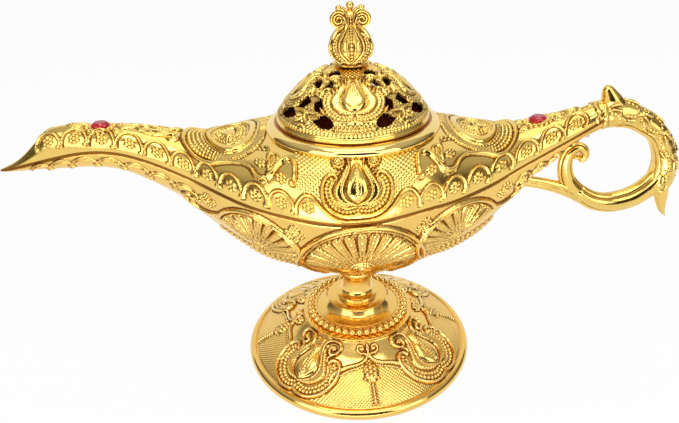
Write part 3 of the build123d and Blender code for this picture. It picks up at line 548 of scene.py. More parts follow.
def leaf(relief, root, tip, half, height=0.9):
    """A pointed leaf from root to tip, swollen along its middle, with slanted side veins."""
    root, tip = np.array(root, float), np.array(tip, float)
    along = tip - root
    side = np.array((-along[1], along[0])) / np.hypot(*along) * half
    shares = np.array([(0, 0), (0.15, 0.6), (0.38, 1.0), (0.65, 0.72), (0.88, 0.25), (1.0, 0)])
    edge = [root + along * s + side * w for s, w in shares]
    back = [root + along * s - side * w for s, w in shares[::-1]]
    relief.pad(np.vstack((smooth_path(edge), smooth_path(back))), height, half * 0.9)
    relief.groove([root + along * 0.12, root + along * 0.9], 0.22, height * 0.35)
    for s in (0.22, 0.38, 0.54, 0.68):
        for sign in (-1, 1):
            relief.groove([root + along * s, root + along * (s + 0.16) + sign * side * 0.75],
                          0.18, height * 0.25)


spout_feet = np.array([-117.1, -106.8, -96.4, -86.2, -75.9, -66.0, -56.6, -47.4, -38.4, -29.6, -20.6])
tail_feet = np.array([20.6, 29.2, 38.0, 47.3, 57.2, 67.2, 76.8, 85.6])
arch_base, arch_rise = 2.3, 6.4
arch_droop = ([-117.1, -96], [1.6, 0])  # the arcade leaves the seam toward the spout's tip
ribbon = np.array([(62.9, 40.0), (62.9, 24.0), (62.7, 17.0), (61.6, 13.0), (58.6, 10.1), (54.6, 8.9),
                   (50.4, 9.6), (46.2, 12.0), (42.1, 13.9), (38.6, 14.8), (35.6, 13.8), (33.6, 11.7),
                   (31.2, 11.4), (28.6, 13.2), (26.6, 16.4), (24.7, 19.4), (22.4, 21.0), (20.6, 19.8),
                   (20.2, 16.6), (20.5, 13.6)])
paisley = np.array([(29.4, 14.8), (27.3, 16.6), (26.0, 19.4), (26.4, 22.2), (28.2, 22.6), (29.3, 20.4),
                    (28.9, 17.6), (29.4, 14.8)])
gem_middles, gem_half, bezel_rim, bezel_beads = (-93.0, 69.0), np.array((3.6, 3.0)), 0.9, 1.3


def upper_relief(grid, run, full_run):
    """Ornament of the upper shell, on x and on the length up from the seam or down from
    the ridge."""
    relief = Relief(grid[:, :, 0], run)
    x, q = relief.a, relief.b
    net_top = np.interp(np.abs(x), [0, 20.3, 20.6], [40, 40, 0])
    net_low = np.interp(np.abs(x), [0, 8, 12, 20], [18, 3.5, 7.0, 10.4])
    relief.net((q < net_top) & (q > net_low), 1.75, 0.60)
    for side, reach in ((-1, 1.0), (1, 0.80)):
        mirror = (side, 1)
        near_far = np.where(ribbon[:, 0] > 48, 48 + (ribbon[:, 0] - 48) * reach, ribbon[:, 0])
        shoulder_ovals(relief, side, reach)
        relief.line(np.stack((side * near_far, ribbon[:, 1]), -1), 0.85, 1.45)
        relief.line((ribbon[10:] + (0, -1.3)) * mirror, 0.26, 0.40)
        relief.beads([(side * 21.4, 11.9)], 1.15, 1.35)
        relief.line(paisley * mirror, 0.45, 0.85)
        relief.bead_row(np.array([(28.4, 17.0), (27.6, 19.0), (27.6, 21.2)]) * mirror, 0.55, 0.7, 1.1)
        for spot in ((32.6, 17.4), (25.0, 13.1), (44.6, 17.2)):
            flower(relief, np.array(spot) * mirror, 0.95)
        relief.line(np.array([(20.3, 2.2), (20.0, 5.5), (17.6, 8.7), (14.6, 8.4), (11.4, 4.8), (8.4, 2.4),
                              (5.0, 1.3), (0, 1.2)]) * mirror, 0.58, 1.0)
        flower(relief, (side * 16.3, 4.9), 1.0)
        for first, low in ((30.0, 24.6), (30.8, 26.4)):
            relief.beads([(side * (first + 1.7 * i), low) for i in range(6)], 0.72, 0.75)
    for feet in (spout_feet, tail_feet):
        for start, end in zip(feet[:-1], feet[1:]):
            droop = np.interp(start, *arch_droop)
            arch(relief, start, end, arch_base + droop, arch_rise - 0.5 * droop)
            flower(relief, ((start + end) / 2 - 0.2, arch_base + 2.4 + droop), 0.95)
        relief.beads([(feet[0] + 0.4, arch_base + np.interp(feet[0], *arch_droop))], 0.8, 1.15)
    palmette(relief, (-0.2, 0.2), lift=1.15)
    ridge = Relief(grid[:, :, 0], full_run - run)
    for centre in gem_middles:
        out = np.hypot(*(np.stack((ridge.a - centre, ridge.b)) / (gem_half + bezel_rim)[:, None]))
        rim = np.where(out < 1.0, 0.55, 0) * np.clip((1.02 - out) / 0.06, 0, 1)
        ridge.height = np.maximum(ridge.height, rim)
        turns = np.linspace(0, np.pi, 9)
        oval = np.stack((np.cos(turns), np.sin(turns)), -1) * (gem_half + bezel_beads)
        ridge.beads(oval + (centre, 0), 0.72, 0.95)
    for root, tip, half in (((-98.6, 0), (-105.5, 0.2), 2.4), ((-98.2, 2.4), (-102.6, 4.4), 1.2),
                            ((-87.4, 0), (-79.0, 0.2), 2.6), ((-88.0, 2.4), (-83.6, 4.6), 1.2),
                            ((-75.5, 1.2), (-79.4, 3.4), 1.3), ((-66.8, 0), (-73.6, 0.6), 2.2),
                            ((63.8, 0), (56.8, 0.3), 2.6), ((64.6, 2.8), (60.6, 5.2), 1.4),
                            ((74.4, 0), (79.4, 0.2), 2.0), ((73.6, 2.2), (77.4, 3.6), 1.1)):
        leaf(ridge, root, tip, half)
    ridge.line([(-79.8, 0.6), (-77.0, 2.8), (-74.0, 3.9), (-71.6, 2.8), (-72.2, 1.2), (-74.0, 1.6)], 0.5, 0.8)
    ridge.line([(-72.8, 4.2), (-69.6, 2.9), (-66.2, 2.4), (-64.6, 4.4), (-66.4, 5.8), (-67.6, 4.8)],
               0.6, 0.95)
    ridge.beads([(-65.9, 4.4)], 0.9, 1.2)
    ridge.bead_row([(80.5, 0), (84.0, 0), (87.2, 0)], 0.6, 0.7, 1.7)
    relief.height = np.maximum(relief.height, ridge.height)
    relief.line([(88.9, 0), (88.7, 2.2), (89.6, 3.6), (88.9, 5.2), (89.2, 8.5)], 0.45, 0.6)
    return relief.height.reshape(run.shape)


# The last number is the width of the painted shade along the upper shell's seam.
mouth_hole, tip_gap, upper_seam_shade = 29.6, 0.02, 0.35
mouth_x = -mouth_hole * np.cos(np.linspace(0.12, np.pi - 0.12, 336))
upper_x = np.concatenate((np.linspace(-spout_reach + tip_gap, -mouth_hole - 0.3, 292, endpoint=False),
                          mouth_x, np.linspace(mouth_hole + 0.3, tail_reach, 163)))
upper_grid, upper_run, upper_full = body_grid(upper_x, "ridge", np.linspace(0, 1, 121), mouth_hole)
upper_height = upper_relief(upper_grid, upper_run, upper_full)
cast_shell("upper_shell", upper_grid, upper_height, upper_run, upper_seam_shade, "gold_upper")


# Lower shell
# The bowl with the floors of spout and tail: the second zinc casting, pinned and soldered
# to the first along the seam, in a warmer gold. Shell fans fill its sides, with clovers
# between them, and small arches run out under the spout.
metal("gold_lower", bright=(0.93, 0.605, 0.165), deep=(0.22, 0.075, 0.008), highlight=(1.0, 0.80, 0.36),
      polish=0.10, grain=0.5)
fan_middle, fan_reach = (1.0, 23.4), (22.3, 21.7)
side_fans = {-36.0: (19.0, 15.8, 16.2, 0.42), 36.4: (17.8, 15.8, 15.4, -0.42)}
spout_arches = [-122.0, -114.0, -105.0, -95.0, -85.0, -75.4, -66.4, -57.6]


def fan(relief, centre, reach, petals, tilt=0.0):
    """A shell fan: long slim petals from a beaded hub, each flat with a thin rim and a row of
    dots, inside a double arch that is reach wide and tall and leans by the tilt."""
    centre, reach = np.array(centre, float), np.array(reach, float)
    spread = 1.42
    turns = tilt + np.linspace(-spread, spread, petals)
    rays = np.stack((np.sin(turns), -np.cos(turns)), -1)
    half = 0.83 * reach.mean() * np.sin(spread / (petals - 1)) * 0.62
    for ray in rays:
        side = np.array((-ray[1], ray[0]))
        root, tip = centre + ray * reach * 0.24, centre + ray * reach * 0.83
        spine = np.array((root, root + (tip - root) * 0.55, tip, tip + ray * half * 0.8))
        wide = side * np.array((0.30, 0.68, 0.98, 0.50))[:, None] * half
        edge = np.vstack((spine + wide, (spine - wide)[::-1]))
        relief.pad(smooth_path(edge), 0.45, 0.3)
        relief.line(edge, 0.30, 0.90)
        relief.bead_row([root + (tip - root) * 0.30, (root + tip) / 2, tip], 0.28 * half + 0.06, 0.38,
                        2.6, 0.42)
    arcs = tilt + np.linspace(-1.60, 1.60, 25)
    ring = np.stack((np.sin(arcs), -np.cos(arcs)), -1)
    relief.line(centre + ring * reach, 0.85, 1.35)
    relief.line(centre + ring * (reach - 1.5), 0.30, 0.70)
    relief.beads(centre + rays * reach * 0.19, 0.62, 0.95)
    relief.beads(centre + rays[::2] * reach * 0.11, 0.70, 1.05)
    relief.beads([centre], 1.3, 1.4)


def clover(relief, centre, size=1.0):
    """Four round leaves, each a ring of small beads round one, with a ball in the middle."""
    centre = np.array(centre, float)
    small = np.vstack((ring_places(6) * 1.15, [(0, 0)]))
    for ray in ring_places(4):
        relief.beads(centre + ray * (2.0, 2.2) * size + small * size, 0.56 * size, 0.80)
    relief.beads([centre], 0.85 * size, 0.95)


def lower_relief(grid, run, full_run):
    """Ornament of the lower shell, on x and on the length down from the seam or up from
    the keel."""
    relief = Relief(grid[:, :, 0], run)
    x, q = relief.a, relief.b
    fan(relief, fan_middle, fan_reach, 13)
    for middle, (depth, wide, tall, tilt) in side_fans.items():
        fan(relief, (middle, depth), (wide, tall), 11, tilt)
        for drop in (4.4, 6.6, 8.8, 11.0):
            relief.bead_row([(middle - 15, depth + drop * 0.55), (middle, depth + drop),
                             (middle + 15, depth + drop * 0.55)], 0.85, 0.8, 2.0)
    for pillar in (-21.6, 23.2):
        relief.line([(pillar, 20.4), (pillar, 22.6), (pillar * 0.99, 24.6)], 1.15, 1.3)
        relief.line([(pillar * 0.99, 24.6), (pillar * 0.8, 33.0), (pillar * 0.5, 43.0)], 0.42, 0.7)
    for spot, size in (((-21.8, 6.6), 1.0), ((23.4, 7.2), 1.0), ((-53.6, 6.2), 0.85), ((54.4, 6.2), 0.85)):
        clover(relief, spot, size)
    for start, end in zip(spout_arches[:-1], spout_arches[1:]):
        span = end - start
        low = np.interp(start, [-122, -105, -85, -57], [2.9, 3.9, 4.9, 6.6])
        arc = np.array([(0, 0.9), (0.10, -0.6), (0.36, -1.9), (0.62, -2.0), (0.86, -0.9), (1, 0.9)])
        relief.line(arc * (span, 1) + (start, low), 0.34, 0.65)
        relief.line(arc[1:-1] * (span, 0.55) + (start, low + 0.5), 0.20, 0.35)
        curl = np.array([(0, 0.9), (-1.1, 1.5), (-1.5, 2.6), (-0.6, 3.3), (0.3, 2.6), (-0.3, 2.0)])
        relief.line(curl + (end, low), 0.34, 0.65)
        relief.line(curl[:3] * (-0.8, -0.9) + (end, low + 1.6), 0.30, 0.55)
    for start in (59.0, 65.4, 71.6, 77.6):
        arc = np.array([(0, 0), (0.06, -2.0), (0.28, -3.8), (0.50, -4.3), (0.72, -3.8), (0.94, -2.0), (1, 0)])
        relief.line(arc * (6.1, 1) + (start, 8.0), 0.5, 0.8)
        flower(relief, (start + 3.0, 6.6), 0.75)
    scroll = np.array([(50.0, 10.5), (54.0, 12.6), (58.6, 13.2), (62.4, 11.8), (63.6, 9.4), (61.8, 7.8),
                       (59.8, 8.8), (60.2, 10.4)])
    for mirror in ((1, 1), (-1, 1)):
        relief.line(scroll * mirror, 0.75, 1.1)
        relief.beads([scroll[-1] * mirror], 1.1, 1.4)
    keel = Relief(grid[:, :, 0], full_run - run)
    for ring, count, radius, height in ((10.4, 24, 0.95, 0.9), (8.8, 24, 0.55, 0.9), (13.0, 44, 0.85, 0.8),
                                        (15.0, 51, 0.85, 0.8), (17.0, 58, 0.85, 0.8), (19.0, 65, 0.85, 0.8)):
        keel.beads(ring_places(count) * ring, radius, height)
    for ray in ring_places(16, np.pi / 16):
        leaf(keel, ray * 20.4, ray * 28.0, 2.3)
    for x0 in np.arange(-56, -30, 6.5):
        leaf(keel, (x0, 0), (x0 - 6.0, 0.1), 2.2, 0.8)
    for x0 in np.arange(34, 74, 6.5):
        leaf(keel, (x0, 0), (x0 + 6.0, 0.1), 1.9, 0.8)
    relief.height = np.maximum(relief.height, keel.height)
    field = (q > 2.2) & (q < 26) & (np.abs(x) < 60)
    grain = np.sin(x * 5.3 + 2 * np.sin(q * 3.1)) * np.sin(q * 4.7 + 2 * np.sin(x * 2.3))
    relief.height[field] += 0.04 * grain[field]
    relief.height -= 0.45 * np.clip(2 - 2 * q / 1.3, 0, 1)
    return relief.height.reshape(run.shape)


bowl_edge, lower_seam_shade = 62, 1.5  # the grid is finer over the bowl, from edge to edge; the second number is the width of the painted shade under the seam
lower_x = np.concatenate((np.linspace(-spout_reach + tip_gap, -bowl_edge, 160, endpoint=False),
                          np.linspace(-bowl_edge, bowl_edge, 400, endpoint=False),
                          np.linspace(bowl_edge, tail_reach, 81)))
down = np.linspace(0, 1, 131)
sheets = body_grid(lower_x, "keel", down * (0.62 + 0.38 * down))
lower_grid, lower_run, lower_full = (sheet[::-1] for sheet in sheets)
lower_height = lower_relief(lower_grid, lower_run, lower_full)
cast_shell("lower_shell", lower_grid, lower_height, lower_run, lower_seam_shade, "gold_lower")


# Collar
# A spun ring that drops into the mouth and dresses it: a hollow flare up from the shoulder,
# a fine step and a bright rolled edge on which the lid sits.
metal("gold_polished", bright=(0.95, 0.70, 0.23), deep=(0.40, 0.14, 0.03), highlight=(1.0, 0.86, 0.46),
      polish=0.02, grain=0.12)


def turned(profile, columns, steps=None, start=0.0):
    """Rings of a turned form: each profile point (radius, height) swings round the axis from
    the front. With steps, the profile is first cut into that many equal lengths."""
    path = np.asarray(profile, float)
    if steps:
        path, _ = cut_path(path, steps)
    turns = start + np.arange(columns) * 2 * np.pi / columns
    grid = np.empty((len(path), columns, 3))
    grid[:, :, 0] = path[:, :1] * np.sin(turns)
    grid[:, :, 1] = -path[:, :1] * np.cos(turns)
    grid[:, :, 2] = path[:, 1:]
    return grid, path, turns


def ring_normals(grid, loop):
    """Unit normals of a grid whose columns, and rows where it is a loop, join up."""
    across = np.roll(grid, -1, 1) - np.roll(grid, 1, 1)
    along = np.roll(grid, -1, 0) - np.roll(grid, 1, 0) if loop else np.gradient(grid, axis=0)
    return unit(np.cross(across, along))


def closed_form(name, grid, height, carrier, slot, *replaced, loop=True, shading_and_dirt=0.0):
    """Raises a ring grid by its relief and closes it: its last ring joins the first, or each
    end closes on a pole. The darkening given adds all over or row by row: painted shade on
    the collar, age on the parts of the lid and handle."""
    rows, cols = grid.shape[:2]
    height = np.broadcast_to(height, (rows, cols))
    raised = grid + ring_normals(grid, loop) * height[:, :, None]
    ids = np.arange(rows * cols).reshape(rows, cols)
    ids = np.concatenate((ids, ids[:, :1]), axis=1)
    if loop:
        ids = np.concatenate((ids, ids[:1]))
    faces = quads(ids).tolist()
    points, normals = raised.reshape(-1, 3), ring_normals(raised, loop).reshape(-1, 3)
    # Painted shade in the hollows and a painted highlight on the crests, plus the darkening given.
    shading_and_age = (hollows(height) + shading_and_dirt).ravel()
    if not loop:
        poles = np.stack((raised[0].mean(0), raised[-1].mean(0)))
        outward = unit(np.stack((poles[0] - raised[1].mean(0), poles[1] - raised[-2].mean(0))))
        points, normals = np.vstack((points, poles)), np.vstack((normals, outward))
        shading_and_age = np.concatenate((shading_and_age, np.zeros(len(poles))))
        for near, far, pole in ((ids[0, 1:], ids[0, :-1], 0), (ids[-1, :-1], ids[-1, 1:], 1)):
            faces += np.stack((near, far, np.full(cols, rows * cols + pole)), -1).tolist()
    add_piece(name, points, faces, normals, shading_and_age, carrier, slot, *replaced)


collar_points = [(28.2, 98.0), (32.4, 98.1), (32.7, 98.8), (32.0, 100.0), (31.4, 101.0), (31.1, 101.7),
                 (31.5, 102.1), (31.9, 102.7), (32.0, 103.5), (31.6, 104.3), (30.9, 105.0), (30.0, 105.4),
                 (29.0, 105.57), (28.4, 105.58), (26.7, 105.5), (26.6, 105.2), (26.6, 99.6), (26.9, 99.2)]
collar_path = smooth_path(collar_points + [collar_points[0]], 6)[:-1]
collar_grid, _, _ = turned(collar_path, 240)
seat_radius, seat_height, step_height = 28.9, 105.0, 101.7
# Painted shade in the gap where the lid seats and along the fine step.
joint_shade = 1.2 * ((collar_path[:, 0] < seat_radius) & (collar_path[:, 1] > seat_height))
step_shade = 0.6 * np.exp(-((collar_path[:, 1] - step_height) / 0.35) ** 2)
closed_form("collar", collar_grid, 0.0, "root", "gold_polished", "collar_ring",
            shading_and_dirt=np.maximum(joint_shade, step_shade)[:, None])


# Lid dome
# A thin pierced casting on a polished rim. A net covers it; a palmette stands on a small
# plinth at each quarter, and scrolls between them frame the openings for the smoke.
lid_rim, lid_foot, dome_base, dome_height, dome_wall = 28.0, 105.6, 107.0, 18.2, 1.6
dome_radius_shares = np.array((0.94, 0.767, 0.50, 0.21))
dome_height_shares = np.array((0.145, 0.41, 0.765, 0.965))
rim_roll = [(26.4, 105.62), (27.7, 105.62), (28.0, 105.9), (27.8, 106.3), (28.0, 106.7), (27.9, 107.1),
            (27.5, 107.35)]
openings = [((26, 0.50), (43, 0.55), 0.052), ((29, 0.78), (43.5, 0.70), 0.050),
            ((15, 0.925), (36, 0.87), 0.045)]
corner_opening = ((26, 0.33), (64, 0.33), 0.066)
quarter = np.pi / 2
lid_age = 0.20  # the lid is handled and smoked more than the body, so it is a little duller


def opening_outline(ends, fat):
    """A leaf between two points on the plan: two arcs that bow by the given share of the rim."""
    turns, outs = np.array(ends).T
    a, b = lid_rim * outs[:, None] * np.stack((np.sin(np.radians(turns)), np.cos(np.radians(turns))), -1)
    across = np.array((a[1] - b[1], b[0] - a[0])) / np.hypot(*(b - a)) * fat * lid_rim
    t = np.linspace(0, 1, 15)[:, None]
    bow = 4 * t * (1 - t)
    return np.vstack((a + (b - a) * t + across * bow, (b + (a - b) * t - across * bow)[1:-1]))


dome_side = np.stack((lid_rim * dome_radius_shares, dome_base + dome_height * dome_height_shares), -1)
dome_curve = smooth_path([(27.35, 107.9), *dome_side, (2.2, 125.1)], 16)
dome_profile = np.vstack((smooth_path(rim_roll, 3), dome_curve))
dome_columns, dome_rows = 480, 88
dome_grid, dome_path, dome_turns = turned(dome_profile, dome_columns, dome_rows)
dome_run = lengths_along(dome_path)
up_dome = dome_run[:, None] - np.interp(dome_curve[0][1], dome_path[:, 1], dome_run)
aside = dome_turns[:dome_columns // 4] - quarter / 2
relief = Relief(dome_path[:, :1] * aside, np.broadcast_to(up_dome, (dome_rows, dome_columns // 4)))
relief.net((relief.b > 0.3) & (relief.b < 28), 1.45, 0.45)
rim_bead = 2 * np.pi * dome_curve[0][0] / 120
for row in (-1, 0, 1, 2):
    shift_along = rim_bead * (0.5 * (row % 2) + np.arange(-16, 17))
    if row > 0:
        shift_along = shift_along[np.abs(shift_along) < 7.2]
    relief.beads(np.stack((shift_along, np.full(len(shift_along), 0.9 + 1.25 * row)), -1), 0.66, 0.62)
relief.line([(-7.6, 4.3), (0, 4.5), (7.6, 4.3)], 0.48, 1.0)
palmette(relief, (0, 1.8), scale=0.93, squeeze=1.12, lift=0.85, rolls=False)
bottom = Motif(relief, (0, 0))
bottom.line([(6.8, 3.6), (10.4, 6.2), (14.2, 7.5), (17.4, 7.2), (18.6, 5.2), (17.4, 3.6), (15.9, 4.4),
             (16.4, 5.6)], 0.50, 0.85)
bottom.line([(18.4, 7.4), (20.8, 5.2), (20.6, 2.6), (18.8, 1.9)], 0.4, 0.6)
bottom.line([(10.9, 13.4), (14.2, 13.9), (17.0, 12.2), (17.6, 9.8)], 0.42, 0.65)
bottom.line([(8.6, 15.6), (11.6, 16.0), (14.6, 14.2), (16.2, 14.8), (15.8, 16.4), (14.6, 16.0)], 0.42, 0.65)
bottom.line([(6.0, 22.0), (8.4, 20.6), (11.0, 19.2), (12.2, 17.0)], 0.42, 0.65)
bottom.line([(3.0, 22.6), (5.4, 22.8), (7.4, 24.6), (7.6, 27.0)], 0.42, 0.65)
bottom.beads([(20.4, 9.4), (19.8, 11.4), (17.6, 15.6), (14.2, 18.4), (12.6, 20.2)], 0.75, 0.70)
bottom.beads([(19.8, 4.0), (12.0, 11.4), (9.6, 20.6)], 0.6, 0.65)
quarter_height = relief.height.reshape(relief.shape)
low_rows = dome_run < dome_run[-1] * 0.12
quarter_height[low_rows] *= up_dome[low_rows] > 0.1
dome_height_map = np.roll(np.tile(quarter_height, (1, 4)), -dome_columns // 8, axis=1)
dome_outer = dome_grid + ring_normals(dome_grid, False) * dome_height_map[:, :, None]
side_normal = unit(np.stack((np.gradient(dome_path[:, 1]), -np.gradient(dome_path[:, 0])), -1))
inner_path = dome_path - side_normal * dome_wall
inner_path[:, 1] = np.maximum(inner_path[:, 1], lid_foot + 0.02)
inner_path[:, 0] = np.minimum(inner_path[:, 0], lid_rim - dome_wall)
dome_inner, _, _ = turned(inner_path, dome_columns)
leaves = [(side, *opening) for side in (-1, 1) for opening in openings] + [(1, *corner_opening)]
outlines = []
for petal in range(4):
    spin = petal * quarter
    turn = np.array(((np.cos(spin), -np.sin(spin)), (np.sin(spin), np.cos(spin))))
    outlines += [opening_outline(ends, fat) * (side, -1) @ turn.T for side, *ends, fat in leaves]

# Points near an opening's outline move onto it, and faces inside the outlines are left out.
snap_reach, search_reach = 0.22, 0.3
plan = dome_outer[:, :, :2].reshape(-1, 2)
moved, cut, on_edge = plan.copy(), np.zeros(len(plan), bool), np.zeros(len(plan), bool)
cutter = Relief(plan[:, 0], plan[:, 1])
for outline in outlines:
    i = cutter.near(outline, search_reach)
    hit = cutter.inside(i, outline)
    best, nearest = np.full(len(i), 1e9), plan[i].copy()
    for p, r in zip(outline, np.roll(outline, -1, axis=0)):
        t = np.clip(((plan[i] - p) @ (r - p)) / ((r - p) @ (r - p)), 0, 1)[:, None]
        spot = p + (r - p) * t
        gap = np.hypot(*(plan[i] - spot).T)
        nearest = np.where((gap < best)[:, None], spot, nearest)
        best = np.minimum(best, gap)
    close = best < snap_reach
    moved[i[close]] = nearest[close]
    on_edge[i[close]] = True
    cut[i[hit & ~close]] = True
shift = np.pad(moved - plan, ((0, 0), (0, 1)))
outer_points = dome_outer.reshape(-1, 3) + shift
inner_points = dome_inner.reshape(-1, 3) + shift
ids = np.arange(dome_rows * dome_columns).reshape(dome_rows, dome_columns)
faces = quads(np.concatenate((ids, ids[:, :1]), axis=1))
centres = outer_points[faces].mean(1)
gone, all_edge = cut[faces].any(1), on_edge[faces].all(1)
probe = Relief(centres[:, 0], centres[:, 1])
for outline in outlines:
    i = probe.near(outline, 0)
    gone[i[probe.inside(i, outline) & all_edge[i]]] = True

# An edge that no neighbouring face runs the other way is open, and carries a wall face.
kept, count = faces[~gone], len(outer_points)
edges = np.stack((kept, np.roll(kept, -1, axis=1)), -1).reshape(-1, 2)
a, b = edges[~np.isin(edges @ np.array((count, 1)), edges @ np.array((1, count)))].T
walls = np.stack((b, a, a + count, b + count), -1)
used, numbers = np.unique(np.concatenate((kept, kept[:, ::-1] + count, walls)), return_inverse=True)
points = np.concatenate((outer_points, inner_points))
normals = np.concatenate((ring_normals(dome_outer, False), -ring_normals(dome_inner, False))).reshape(-1, 3)
# Painted shade along the foot of the rim where the lid sits on the collar and in the relief's hollows, with a
# painted highlight on its crests, on top of the lid's age.
rim_shade = 1.2 * (dome_path[:, 1] < lid_foot + 0.15)[:, None]
dome_shading_and_age = np.maximum(0.55 * hollows(dome_height_map) + lid_age, rim_shade)
shading_and_age = np.concatenate((dome_shading_and_age.ravel(), np.full(count, unplated)))
add_piece("lid_dome_pierced", points[used], numbers.reshape(-1, 4).tolist(), normals[used], shading_and_age[used], "lid",
          "gold_upper", "lid_dome")


# Finial
# A cast knob screwed on from inside: a bulb with a ribbed leaf in front and behind, beaded
# lobes beside it, a waist, two scrolls and a fleuron of three balls.
finial_age = 0.32
finial_points = [(5.2, 125.25), (6.2, 125.3), (6.5, 125.9), (5.9, 126.5), (5.6, 126.9), (6.4, 128.1),
                 (7.1, 129.9), (7.2, 131.3), (6.5, 133.4), (5.1, 135.6), (4.0, 137.3), (3.5, 138.7),
                 (3.5, 139.9), (3.3, 141.4), (2.4, 142.8), (1.2, 143.6), (0.3, 143.8)]
finial_columns, finial_rows = 300, 110
finial_grid, finial_path, finial_turns = turned(smooth_path(finial_points, 6), finial_columns, finial_rows)
finial_run = lengths_along(finial_path)
half_turns = finial_turns[:finial_columns // 2] - np.pi / 2
knob = Relief(*np.broadcast_arrays(7.0 * half_turns, finial_run[:, None]))
m = Motif(knob, (0, 0))
m.pad([(0, 3.2), (2.0, 5.0), (3.7, 7.8), (3.9, 10.4), (2.9, 13.4), (1.7, 16.0), (0.9, 18.6), (0, 19.6)],
      0.75, 1.2)
m.line([(0, 3.2), (2.0, 5.0), (3.8, 7.8), (4.0, 10.4), (3.0, 13.4), (1.8, 16.0), (1.0, 18.8)], 0.32, 1.15)
m.line([(0.5, 4.4), (2.6, 8.0), (2.8, 10.6), (2.0, 13.8), (1.1, 16.6)], 0.20, 1.0)
m.line([(0.75, 5.4), (1.35, 9.0), (1.3, 12.6), (0.8, 16.6)], 0.20, 1.05)
m.bead_row([(0, 4.2), (0, 11.0), (0, 19.0)], 0.52, 0.50, 1.05, 0.8)
m.side_pad([(1.2, 2.6), (3.6, 3.4), (6.2, 6.2), (7.8, 9.6), (7.4, 12.8), (6.0, 13.6), (5.8, 11.2), (5.0, 8.2),
            (3.0, 5.0), (1.2, 2.6)], 0.45, 0.6)
m.bead_row([(2.0, 3.3), (4.9, 5.7), (6.7, 9.2), (6.6, 12.6)], 0.50, 0.5, 1.05, 0.42)
m.bead_row([(3.6, 5.4), (5.4, 8.4), (5.9, 11.4)], 0.36, 0.4, 0.85, 0.42)
m.line([(0.9, 2.3), (4.0, 3.1), (7.0, 6.1), (8.6, 9.6), (8.1, 13.2), (6.4, 15.0), (4.4, 16.4)], 0.40, 1.15)
m.line([(9.8, 4.4), (10.4, 8.0), (10.0, 11.6), (8.8, 14.8)], 0.45, 0.8)
m.line([(2.0, 16.6), (3.0, 18.0), (4.6, 18.8), (6.4, 18.4)], 0.40, 0.8)
m.line([(2.2, 19.0), (4.0, 20.4), (6.4, 20.6)], 0.34, 0.6)
knob_height = np.roll(np.tile(knob.height.reshape(knob.shape), (1, 2)), -finial_columns // 4, axis=1)
fade = np.clip(finial_run / 2.4, 0, 1) ** 3 * np.clip((finial_run[-1] - finial_run) / 2.0, 0, 1)
knob_height *= fade[:, None]
closed_form("finial_knob", finial_grid, knob_height, "lid", "gold_upper", "finial", loop=False,
            shading_and_dirt=finial_age)


def tube(points, sizes, columns, steps, flat=1.0):
    """Rings square to a path in the lamp's middle plane, thinned across by flat. The first
    and last rings shrink along a quarter circle, so that the form closes round."""
    stretch = 12
    path = smooth_path(points, stretch)
    run = lengths_along(path)
    spot, at = cut_path(path, steps)
    size = np.interp(at, run[::stretch][:len(sizes)], sizes)
    for _ in range(3):
        size[1:-1] = (size[:-2] + size[1:-1] * 2 + size[2:]) / 4
    for reach, edge in ((at, size[0]), (run[-1] - at, size[-1])):
        size = size * np.sqrt(np.clip(1 - np.clip(1 - reach / max(edge, 0.2), 0, 1) ** 2, 0.0004, 1))
    ahead = unit(np.gradient(spot, axis=0))
    turns = np.arange(columns) * 2 * np.pi / columns
    out, side = size[:, None] * np.cos(turns), flat * size[:, None] * np.sin(turns)
    grid = np.stack((spot[:, :1] + ahead[:, 1:] * out, side, spot[:, 1:] - ahead[:, :1] * out), -1)
    return grid, at, size, turns


volute_middle, volute_size, volute_half = (4.1, 140.5), 3.0, 1.65
volute_edge = np.array([(0.25, -1.0), (0.70, -1.0), (0.90, -0.80), (1.0, -0.35)])
volute_side = np.vstack((volute_edge, (volute_edge * (1, -1))[::-1]))
sprigs = {  # the path, its half thicknesses
    "petal": ([(0.4, 141.6), (1.7, 143.0), (3.1, 143.9), (4.1, 143.9)], [0.8, 0.95, 0.95, 0.7]),
    "sepal": ([(1.0, 141.3), (2.6, 142.4), (4.0, 142.6), (4.8, 142.1)], [0.6, 0.7, 0.6, 0.45])}
for side, label in ((-1, "left"), (1, "right")):
    # A volute is a round cushion on its side; on both faces a ridge winds in to the eye.
    path = smooth_path(volute_side) * (volute_size, volute_half)
    turns = np.arange(96) * 2 * np.pi / 96
    grid = np.empty((len(path), len(turns), 3))
    grid[:, :, 0] = side * volute_middle[0] + path[:, :1] * np.sin(turns)
    grid[:, :, 1] = path[:, 1:]
    grid[:, :, 2] = volute_middle[1] + path[:, :1] * np.cos(turns)
    wound = path[:, :1] / 0.85 + side * turns / (2 * np.pi)
    ridge = 0.28 * np.cos(2 * np.pi * wound) * np.clip((volute_size - path[:, :1]) / 0.3, 0, 1)
    closed_form("finial_volute_" + label, grid, ridge, "lid", "gold_upper", loop=False, shading_and_dirt=finial_age)
    for sprig, (path, thick) in sprigs.items():
        grid = tube(np.array(path) * (side, 1), thick, 24, 50, 0.9)[0]
        closed_form(f"finial_{sprig}_{label}", grid, 0.0, "lid", "gold_upper", loop=False, shading_and_dirt=finial_age)
for label, x, z, size in (("top", 0, 145.0, 1.45), ("left", -3.9, 144.1, 1.15), ("right", 3.9, 144.1, 1.15)):
    grid = tube([(x, z + size * share) for share in (-1, -0.3, 0.3, 1)], [size] * 4, 28, 30)[0]
    closed_form("finial_ball_" + label, grid, 0.0, "lid", "gold_polished", loop=False, shading_and_dirt=finial_age)


